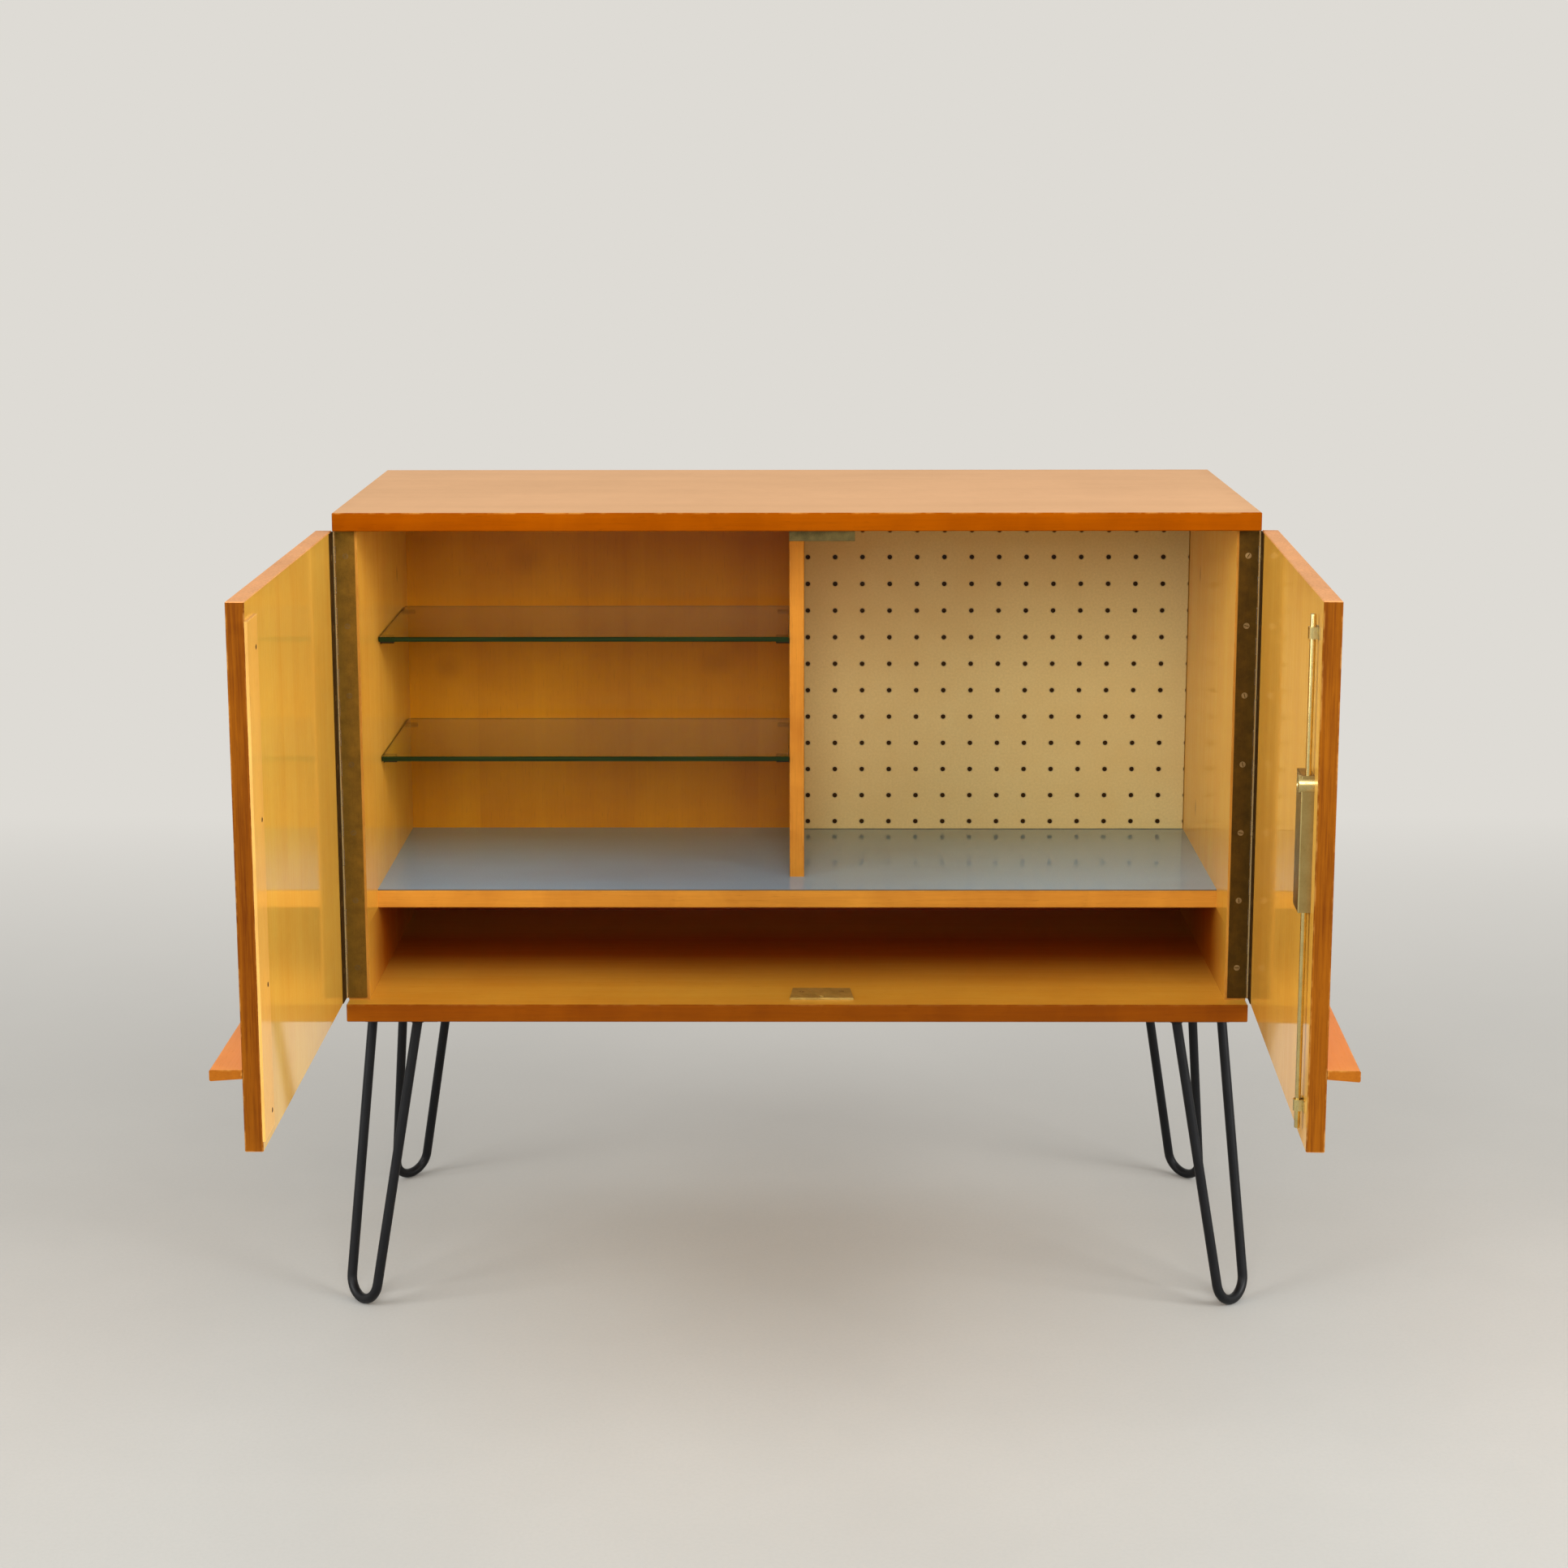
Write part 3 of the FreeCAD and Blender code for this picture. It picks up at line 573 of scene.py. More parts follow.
def build_veneer(name):
    """Fine-grained wood: the grain runs along Z of Point, and its leaves lie side by side along X."""
    given, result = new_group(
        name,
        {"Point": "Vector", "Light": "Color", "Dark": "Color", "Leaf": "Float", "Seed": "Float",
         "Figure": "Float", "Lines": "Float", "Crown": "Float", "Streaks": "Float"},
        {"Color": "Color", "Roughness": "Float", "Height": "Float"})
    point, seed = given["Point"], given["Seed"]
    across = point.parts()[0]
    leaf = maths("FLOOR", across / given["Leaf"] + seed)
    chance = add(point.tree, "TexWhiteNoise", {"W": leaf}, noise_dimensions="1D")
    place = point + chance["Color"] * (3.0, 3.0, 9.0) + add(point.tree, "CombineXYZ", {0: seed})[0]
    rise = noise(place, (7.0, 7.0, 0.9), 2.0, 0.45, 0.2)
    wave = maths("SINE", (rise * given["Crown"] + across * given["Lines"]) * (2 * math.pi))
    ring = maths("POWER", wave.remap(-1.0, 1.0), 2.2)
    band = noise(place, (22.0, 22.0, 0.9))
    fibre = noise(place, (420.0, 420.0, 11.0), 4.0, 0.7)
    fleck = noise(place, (900.0, 900.0, 60.0), 2.0, 0.6)
    ripple = noise(place, (16.0, 16.0, 26.0), 3.0, 0.6, 0.6)
    cloud = noise(point, (5.0, 5.0, 4.0), 3.0, 0.6)
    pores = fleck.remap(0.62, 0.74)
    tone = ring * given["Figure"]
    for part, low, high, weight in (
            (band, 0.3, 0.7, 0.26), (fibre, 0.35, 0.68, 0.12), (ripple, 0.35, 0.7, 0.12),
            (cloud, 0.35, 0.7, 0.40), (chance["Value"], 0.0, 1.0, 0.05)):
        tone = tone + part.remap(low, high, -0.2 * weight, weight)
    streak = fibre.remap(0.44, 0.62) * given["Streaks"]
    tone = (maths("MAXIMUM", tone, 0.0) + streak).held()
    colour = mix(tone, given["Light"], given["Dark"])
    give(result, {
        "Color": mix(pores * 0.25, colour, tinted(given["Dark"], (0.50, 0.42, 0.34))),
        "Roughness": fibre.remap(0.3, 0.7, 0.34, 0.44) + pores * 0.1,
        "Height": fibre * 0.5 - pores})


def build_edge_wear(name):
    """Masks of the rubbed arrises and of the darker borders of a board between the corners Low and High."""
    given, result = new_group(
        name, {"Point": "Vector", "Low": "Vector", "High": "Vector", "Width": "Float", "Amount": "Float"},
        {"Mask": "Float", "Grime": "Float"})
    point = given["Point"]
    x, y, z = maths("MINIMUM", abs(point - given["Low"]), abs(given["High"] - point)).parts()
    distance = maths("MAXIMUM", maths("MINIMUM", x, y), maths("MINIMUM", maths("MAXIMUM", x, y), z))
    chance = noise(point, 55.0, 4.0, 0.65).remap(0.46, 0.62)
    line = (distance / given["Width"]).remap(0.35, 1.0, 1.0, 0.0)
    border = distance.remap(0.0, 18 * MM, 1.0, 0.0)
    give(result, {"Mask": line * chance * given["Amount"],
                  "Grime": border * noise(point, 9.0, 3.0, 0.6).remap(0.4, 0.65)})


def build_aged_metal(name):
    """Metal with tarnish in clouds and fine scratches along Z."""
    given, result = new_group(
        name, {"Point": "Vector", "Clean": "Color", "Tarnish": "Color", "Age": "Float"},
        {"Color": "Color", "Roughness": "Float", "Height": "Float"})
    point = given["Point"]
    cloud = noise(point, 70.0, 5.0, 0.65)
    speck = noise(point, 900.0, 3.0, 0.6)
    scratch = noise(point, (1600.0, 1600.0, 60.0))
    old = ((cloud.remap(0.35, 0.68) + speck.remap(0.45, 0.8, 0.0, 0.4)) * given["Age"]).held()
    give(result, {
        "Color": mix(old, given["Clean"], given["Tarnish"]),
        "Roughness": old.remap(0.0, 1.0, 0.24, 0.46) + scratch.remap(0.3, 0.7, 0.0, 0.12),
        "Height": scratch + speck * 0.5})


GROUP_BUILDERS = {"veneer": build_veneer, "edge_wear": build_edge_wear, "aged_metal": build_aged_metal}


def new_material(name, constants):
    """A material, its Principled shader with the constants set directly, and its coordinates."""
    material = bpy.data.materials.new(name)
    material.use_nodes = True
    shader = material.node_tree.nodes["Principled BSDF"]
    give(shader, constants)
    return material, shader, add(material.node_tree, "TexCoord", {})


def finish(shader, colour, roughness, height=None, distance=0.0, strength=0.0):
    """Feeds the shader's colour and roughness, and its normal from a height."""
    give(shader, {"Base Color": colour, "Roughness": roughness})
    if height is not None:
        feeds = {"Height": height, "Distance": distance, "Strength": strength}
        feed(shader.inputs["Normal"], add(height.tree, "Bump", feeds)[0])


def on_shut_door(vector, hand, is_point):
    """A point or a direction on an open door, as it is on the shut door."""
    centre = (hand * HINGE_X, HINGE_Y, 0) if is_point else (0, 0, 0)
    feeds = {"Vector": vector, "Center": centre, "Angle": -OPEN_ANGLE[hand]}
    return add(vector.tree, "VectorRotate", feeds, rotation_type="Z_AXIS")[0]


def reorder(vector, order):
    """A vector with its axes in another order: across the grain, through the board, along the grain."""
    axes = dict(zip("XYZ", vector.parts()))
    return add(vector.tree, "CombineXYZ", {number: axes[axis] for number, axis in enumerate(order)})[0]


def wood(node, name, order, light, dark, edge=None, outer=None, outer_sign=1, end=None, hand=0,
         corners=None, leaf=0.3, seed=0.0, lines=36.0, crown=7.0, wear=0.5, coat=0.6, coat_rough=0.1,
         gloss=0.06, streaks=0.0, marks=(), inside=1, painted_bay_shadow=None, shade_behind_board=None):
    """Gives a CAD board its varnished wood.

    order gives the axes across the grain, through the board and along the grain. edge is the colour of
    the board's edges, end that of the ends of its grain, and outer that of the face toward outer_sign.
    hand is the door that the board is on, and corners are those of its box, where the door stands shut.
    leaf is the width of the veneer's leaves, gloss how strongly the bare wood mirrors, and streaks
    darkens the fibres of the edges. marks are knots, stains and patches of painted shade: place, radius,
    stretch upward, strength and colour. inside is the sign of the face that looks into the cabinet.
    painted_bay_shadow gives the tint of a painted shadow on that face deep under the middle shelf, the
    depths between which it comes in, and how much of it is left at the rear. shade_behind_board is the
    place, across and up, past which that face lies behind another board and is painted dark as shade.
    """
    material, shader, source = new_material(
        name, {"Coat Roughness": coat_rough, "Specular IOR Level": gloss})
    point, normal = source["Object"], source["Normal"]
    if hand:
        point, normal = on_shut_door(point, hand, True), on_shut_door(normal, hand, False)
    _, through, along = reorder(normal, order).parts()
    colours = [light, dark]
    varnish, edge_streaks = coat, 0.0
    if edge:
        is_face = abs(through) > FLAT
        edge_dark = [share * part for share, part in zip(EDGE_FIGURE, edge)]
        colours = [mix(is_face, edge, light), mix(is_face, edge_dark, dark)]
        varnish = is_face * coat
        edge_streaks = (1.0 - is_face) * streaks
    if end:
        is_end = abs(along) > 0.5
        colours = [mix(is_end, colours[0], end), mix(is_end, colours[1], scaled(end, 0.7))]
    if outer:
        colours[0] = mix(through * outer_sign > FLAT, colours[0], outer)
    grain = use_group(point.tree, "veneer", {
        "Point": reorder(point, order), "Light": colours[0], "Dark": colours[1], "Leaf": leaf,
        "Seed": seed, "Figure": 0.05, "Lines": lines, "Crown": crown, "Streaks": edge_streaks})
    low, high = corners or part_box(node)
    worn = use_group(point.tree, "edge_wear", {
        "Point": point, "Low": low, "High": high, "Width": 1.6 * MM, "Amount": wear})
    across, depth, height = point.parts()
    rubbed = worn["Mask"]
    if order[1] == "Z":
        rubbed = rubbed * (height > (low[2] + high[2]) / 2)
    colour = mix(worn["Grime"] * 0.12, grain["Color"], srgb(110, 56, 10))
    colour = mix(rubbed, colour, srgb(230, 174, 88))
    # knots and stains, and on the back two large patches of painted shade in the corners by the divider
    for place, radius, stretch, strength, mark_colour in marks:
        reach = ((point - place) * (1.0, 1.0, 1 / stretch)).length()
        colour = mix(reach.remap(0.2 * radius, radius, strength, 0.0), colour, mark_colour)
    is_inside = through * inside > 0.5
    # painted shadow: deep under the middle shelf this face is darkened toward the rear, as if the shelf shaded
    # it
    if painted_bay_shadow:
        tint, start, full, rear_share = painted_bay_shadow
        shade = (height < SHELF_LOW) * depth.remap(FRONT + start, FRONT + full) * is_inside
        shade = shade * depth.remap(50 * MM, 165 * MM, 1.0, rear_share)
        colour = mix(shade, colour, tinted(colour, tint))
    # painted shade: the face behind the pegboard is darkened, as if the board shaded it
    if shade_behind_board:
        in_painted_shade = (across > shade_behind_board[0]) * (height > shade_behind_board[1]) * is_inside
        colour = mix(in_painted_shade, colour, tinted(colour, (0.12, 0.12, 0.12)))
    feed(shader.inputs["Coat Weight"], varnish)
    finish(shader, colour, grain["Roughness"] + rubbed * 0.2, grain["Height"], 0.06 * MM, 0.35)
    dress(node, material)


def metal(name, clean=None, axis=None, kind=None):
    """An aged metal's material, from the table's row of its kind or else its name. clean takes the place
    of the clean colour, and axis is the place, across and back, of an upright line round which it is
    polished."""
    table_clean, tarnish, age, metallic, rough = METALS[kind or name]
    material, shader, source = new_material(name, {"Metallic": metallic})
    point = source["Object"]
    aged = use_group(point.tree, "aged_metal", {
        "Point": point, "Clean": clean or srgb(*table_clean), "Tarnish": srgb(*tarnish), "Age": age})
    colour, roughness = aged["Color"], aged["Roughness"] + rough
    if axis:
        reach = ((point - (*axis, 0)) * (1, 1, 0)).length()
        polished = reach < KNUCKLE / 2 + 0.05 * MM
        colour = mix(polished * 0.6, colour, srgb(196, 168, 116))
        roughness = (roughness - polished * 0.45).held()
    finish(shader, colour, roughness, aged["Height"], 0.02 * MM, 0.25)
    return material


def powder_coat(name, colour):
    """Satin powder coat with a fine orange peel."""
    material, shader, source = new_material(name, {"Specular IOR Level": 0.22})
    cloud = noise(source["Object"], 30.0, 4.0, 0.6)
    paler = [1.4 * part + 0.001 for part in colour]
    finish(shader, mix(cloud.remap(0.4, 0.7, 0.0, 0.5), colour, paler), cloud.remap(0.3, 0.7, 0.38, 0.5),
           noise(source["Object"], 900.0), 0.06 * MM, 0.5)
    return material


def laminate_sheet(name, colour):
    """Grey-blue laminate: glossy, finely speckled, browner to the rear in painted shade and in a painted
    reflection of the brown back, and dark on its edges.
    """
    material, shader, source = new_material(name, {"Specular IOR Level": 0.5})
    point = source["Object"]
    speckle = noise(point, 900.0, 2.0, 0.6)
    cloud = noise(point, (4.0, 6.0, 4.0), 3.0)
    sheet = mix(speckle.remap(0.3, 0.7), scaled(colour, 0.93), scaled(colour, 1.06))
    sheet = mix(cloud.remap(0.42, 0.68, 0.0, 0.25), sheet, srgb(132, 138, 142))
    # painted shade and painted reflection of the brown back, growing toward the rear
    depth = point.parts()[1]
    sheet = mix(depth.remap(-0.11, 0.14), sheet, tinted(sheet, (0.74, 0.60, 0.40)))
    is_level = source["Normal"].parts()[2] > FLAT
    finish(shader, mix(is_level, srgb(96, 84, 66), sheet), speckle.remap(0.2, 0.8, 0.08, 0.12))
    return material


def painted_hardboard(name, colour, spot, pitches, hole):
    """Cream paint on hardboard, darker round and inside each hole."""
    material, shader, source = new_material(name, {"Specular IOR Level": 0.4})
    point = source["Object"]
    axes = point.parts()
    across, up = [
        maths("FLOORED_MODULO", axes[number] + (pitch / 2 - spot[number]), pitch) - pitch / 2
        for number, pitch in zip((0, 2), pitches)]
    reach = maths("SQRT", across * across + up * up)
    speck = noise(point, 420.0, 4.0, 0.7)
    cloud = noise(point, 7.0, 4.0, 0.6)
    browner = [share * part for share, part in zip((0.86, 0.74, 0.58), colour)]
    paint = mix(speck.remap(0.35, 0.65, 0.0, 0.5), colour, scaled(colour, 0.78))
    paint = mix(cloud.remap(0.40, 0.70, 0.0, 0.45), paint, browner)
    rim = reach.remap(hole / 2, hole / 2 + 1.6 * MM, 1.0, 0.0)
    paint = mix(rim * 0.3, paint, srgb(92, 60, 26))
    paint = mix(reach < hole / 2 + 0.1 * MM, paint, srgb(52, 30, 12))
    finish(shader, paint, speck.remap(0.3, 0.7, 0.48, 0.62), speck, 0.08 * MM, 0.6)
    return material


def clear_glass(name):
    """Clear float glass, faintly green, with a little dust."""
    material, shader, source = new_material(name, {
        "Transmission Weight": 1.0, "IOR": 1.5, "Specular IOR Level": 0.25,
        "Base Color": srgb(240, 247, 130)})
    dust = noise(source["Object"], 60.0, 4.0, 0.7)
    feed(shader.inputs["Roughness"], dust.remap(0.5, 0.75, 0.0, 0.08))
    return material


def glass_edge(name):
    """The ground edge of float glass: deep green."""
    material, shader, source = new_material(name, {"Specular IOR Level": 0.12})
    streak = noise(source["Object"], (14.0, 14.0, 900.0), 3.0, 0.6)
    finish(shader, mix(streak.remap(0.35, 0.65), srgb(18, 32, 8), srgb(34, 50, 16)),
           streak.remap(0.3, 0.7, 0.18, 0.35), streak, 0.05 * MM, 0.4)
    return material


def dress(node, material):
    """Gives a CAD node that stays a material."""
    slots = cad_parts[node].data.materials
    slots.clear()
    slots.append(material)


# The operators

class CABINET_OT_boards(bpy.types.Operator):
    """Finishes the boards, the doors, the back and the laminate, which keep their CAD shapes"""

    bl_idname = "cabinet.boards"
    bl_label = "Boards and doors"

    def execute(self, context):
        colours = context.scene.cabinet_colours
        light, dark, outer = colours.veneer, colours.figure, colours.outer
        # The top face's pale colours are painted sheen, in place of a glossy varnish.
        wood("top_board", "top_wood", "YZX", light, srgb(200, 157, 117), colours.lipping, colours.top, 1,
             leaf=0.19, seed=0.37, lines=24, wear=0.3, coat=0.04, coat_rough=0.35, gloss=0.0)
        # The bottom board, the sides and the back get a painted shadow deep in the bay under the middle shelf.
        wood("bottom_board", "bottom_wood", "YZX", srgb(229, 174, 62), srgb(213, 145, 42), srgb(152, 80, 2),
             leaf=0.19, seed=3.1, wear=0.12, painted_bay_shadow=((0.34, 0.13, 0.02), 62 * MM, 184 * MM, 0.3))
        wood("middle_shelf", "shelf_wood", "YZX", light, dark, srgb(230, 162, 60), seed=6.6, wear=0.2)
        wood("divider_panel", "divider_wood", "YXZ", light, dark, srgb(232, 160, 60), seed=8.2, wear=0.3)
        # The left side's panel, door and ledge have lighter veneer colours than the right's: painted light on
        # the left side.
        for hand, side in SIDE_NAME.items():
            left = hand < 0
            wood(side + "_side_panel", side + "_side_wood", "YXZ", light if left else srgb(222, 172, 66),
                 dark, srgb(198, 138, 54), outer, hand, leaf=0.2, seed=11.3 + hand, wear=0.2, inside=-hand,
                 painted_bay_shadow=((0.45, 0.20, 0.04), 20 * MM, 130 * MM, 0.6),
                 marks=[((hand * INNER_HALF, y, z), 3.4 * MM, 3.3, 0.85, srgb(84, 38, 8))
                        for y, z in KNOTS[hand]])
            x0, x1 = sorted((hand * 1 * MM, hand * HALF))
            wood(side + "_door_panel", side + "_door_wood", "XYZ",
                 srgb(240, 192, 82) if left else srgb(240, 183, 74),
                 srgb(226, 162, 56) if left else srgb(218, 150, 48), srgb(142, 80, 10), outer, -1,
                 srgb(228, 158, 96), hand, ((x0, FRONT, DOOR_BOTTOM), (x1, DOOR_INNER, DOOR_TOP)),
                 leaf=0.115, seed=20.4 + 2 * hand, lines=20, crown=8, wear=0.3, coat=1.0 if left else 0.7,
                 coat_rough=0.07, streaks=0.4)
            wood(side + "_door_ledge", side + "_ledge_wood", "YZX",
                 srgb(212, 132, 36) if left else srgb(203, 122, 24), srgb(196, 112, 24),
                 srgb(176, 104, 26), hand=hand, seed=30.2 + hand, lines=90, crown=3, wear=0.3, coat=0.3,
                 corners=((x0, FRONT - 28 * MM, DOOR_BOTTOM + 63 * MM), (x1, FRONT, DOOR_BOTTOM + 73 * MM)))
        wood("closing_strip", "strip_wood", "XYZ", colours.strip, srgb(226, 162, 66), srgb(232, 182, 96),
             hand=-1, leaf=0.5, seed=41.0, lines=160, crown=2, wear=0.1,
             corners=((-40 * MM, DOOR_INNER, DOOR_BOTTOM + 11 * MM),
                      (4 * MM, DOOR_INNER + 3 * MM, DOOR_TOP - 16 * MM)))
        # The back is painted dark behind the pegboard, where the board shades it.
        wood("back_panel", "back_wood", "XYZ", colours.back, srgb(190, 110, 8), leaf=0.062, seed=51.7,
             lines=16, crown=6, wear=0.0, coat=0.3, coat_rough=0.25, inside=-1,
             painted_bay_shadow=((0.58, 0.24, 0.05), 62 * MM, 184 * MM, 1.0), shade_behind_board=(DIVIDER_HALF, LAMINATE_TOP),
             marks=[((x, BACK_FRONT, z), reach, 0.8, 0.3, srgb(150, 76, 0)) for (x, z), reach in STAINS_AND_PAINTED_SHADE])
        wood("pegboard_battens", "batten_wood", "XYZ", srgb(214, 178, 120), srgb(168, 120, 66), leaf=0.5,
             seed=61.0, wear=0.1, coat=0.0)
        dress("shelf_laminate", laminate_sheet("grey_laminate", colours.laminate))
        return {"FINISHED"}


class CABINET_OT_pegboard(bpy.types.Operator):
    """Models the pegboard with its rows of round, slightly flared holes, cut through at its right edge"""

    bl_idname = "cabinet.pegboard"
    bl_label = "Pegboard"

    def execute(self, context):
        sizes = context.scene.cabinet_sizes
        low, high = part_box("pegboard")
        step, pitch, flare = sizes.peg_step, sizes.peg_pitch, 0.35 * MM
        first = Vector((DIVIDER_HALF + 4.2 * MM, low.y, LAMINATE_TOP + 9 * MM))
        cutter = turned("peg_cutter", sizes.peg_hole / 2, first + Vector((0, 6 * MM, 0)),
                        first + Vector((0, flare, 0)), 12)
        choose(cutter, "FACE", faces_toward(0, -1, 0))
        extrude(0, -2 * flare, 0)
        bpy.ops.transform.resize(value=(1.13, 1.0, 1.13), center_override=first)
        leave_edit()
        repeat(cutter, int((high.x - first.x) / step + 1.01), (step, 0, 0))
        repeat(cutter, int((high.z - first.z) / pitch + 0.9), (0, 0, pitch))
        sheet = block("pegboard_sheet", low, high)
        cut_away(sheet, cutter)

        def on_rim(point):
            outward = (point.co.x - low.x, point.co.z - low.z, point.co.z - high.z)
            return min(abs(part) for part in outward) < TINY

        ease(sheet, 0.3 * MM, lambda e: edges_at(1, low.y)(e) and all(map(on_rim, e.verts)), 1)
        colour = context.scene.cabinet_colours.pegboard
        material = painted_hardboard("painted_pegboard", colour, first, (step, pitch), sizes.peg_hole)
        hand_over(sheet, "cabinet", "pegboard", material, "pegboard")
        return {"FINISHED"}


class CABINET_OT_glass(bpy.types.Operator):
    """Models the two glass shelves with ground edges, and the round pins that carry them"""

    bl_idname = "cabinet.glass"
    bl_label = "Glass shelves and pins"

    def execute(self, context):
        pane, edge = clear_glass("clear_glass"), glass_edge("green_glass_edge")
        for name in ("lower", "upper"):
            shelf = block(name + "_glass", *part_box(name + "_glass_shelf"))
            ease(shelf, context.scene.cabinet_sizes.glass_arris, segments=1)
            two_finishes(shelf, pane, edge, lambda face: abs(face.normal.z) <= 0.9)
            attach(shelf, name + "_glass")
            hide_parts(name + "_glass_shelf")
        steel = metal("dull_pins", context.scene.cabinet_colours.pins)
        hand_over(self.make_pins(), "cabinet", "zinc_steel", steel, "shelf_pins")
        return {"FINISHED"}

    def make_pins(self):
        """Turns one pin with a rounded tip and a collar, and copies it to the eight places."""
        radius, out = 2.5 * MM, 14 * MM
        shaft = turned("shelf_pin", radius, (-10 * MM, 0, 0), (out, 0, 0), 20)
        ease(shaft, 0.9 * MM, edges_at(0, out), 3)
        collar = turned("pin_collar", radius + 0.6 * MM, (0, 0, 0), (0.8 * MM, 0, 0), 20)
        pin = join("shelf_pin", [shaft, ease(collar, 0.2 * MM)])
        pins = []
        for name in ("lower", "upper"):
            low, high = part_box(name + "_glass_shelf")
            for y in (low.y + 20 * MM, high.y - 20 * MM):
                for face, turn in ((-INNER_HALF, 0), (-DIVIDER_HALF, math.pi)):
                    place = Matrix.Translation((face, y, low.z - 0.1 * MM - radius))
                    pins.append(copy_to(pin, place @ Matrix.Rotation(turn, 4, "Z")))
        bpy.data.objects.remove(pin)
        return join("shelf_pins_turned", pins)


def screw_model(head, shank, depth, length, cross=False, dome_share=0.07):
    """One countersunk screw with a slot or a cross, its head's rim at the origin and its tip toward -Z."""
    radius, dome, width = head / 2, dome_share * head, 0.13 * head
    body = turned("screw", radius, (0, 0, -0.12 * head), (0, 0, 0), 20)
    choose(body, "FACE", faces_toward(0, 0, -1))
    extrude(0, 0, 0.12 * head - depth)
    bpy.ops.transform.resize(value=(shank / head, shank / head, 1), center_override=(0, 0, 0))
    extrude(0, 0, depth - length + 2 * shank)
    extrude(0, 0, -2 * shank)
    bpy.ops.transform.resize(value=(0.15, 0.15, 1), center_override=(0, 0, 0))
    choose(body, "FACE", faces_toward(0, 0, 1))
    for inset, rise in ((0.22, 0.7), (0.30, 0.3)):
        bpy.ops.mesh.inset(thickness=inset * radius)
        bpy.ops.transform.translate(value=(0, 0, rise * dome))
    for axis in (Vector((1, 0, 0)), Vector((0, 1, 0)))[:2 if cross else 1]:
        for way in (-1, 1):
            bpy.ops.mesh.select_all(action="SELECT")
            bpy.ops.mesh.bisect(plane_co=axis * (way * width / 2), plane_no=axis)
    rim = (0.52 if cross else 0.86) * radius

    def in_slot(face):
        centre = face.calc_center_median()
        inside = abs(centre.x) < width / 2 or (cross and abs(centre.y) < width / 2)
        return inside and centre.z > 0.2 * dome and math.hypot(centre.x, centre.y) < rim

    choose(body, "FACE", in_slot)
    extrude(0, 0, -0.16 * head)
    leave_edit()
    return body


def drive_screws(name, sizes, places, chance, **form):
    """Copies a screw to each place, given as its head's centre and the way that its head looks. sizes are its
    head, shank, head's depth and length in millimetres."""
    model = screw_model(*(size * MM for size in sizes), **form)
    screws = []
    for place, outward in places:
        turn = Vector(outward).to_track_quat("Z", "Y").to_matrix().to_4x4()
        spin = Matrix.Rotation(chance.uniform(0, math.pi), 4, "Z")
        screws.append(copy_to(model, Matrix.Translation(place) @ turn @ spin))
    bpy.data.objects.remove(model)
    return join(name, screws)


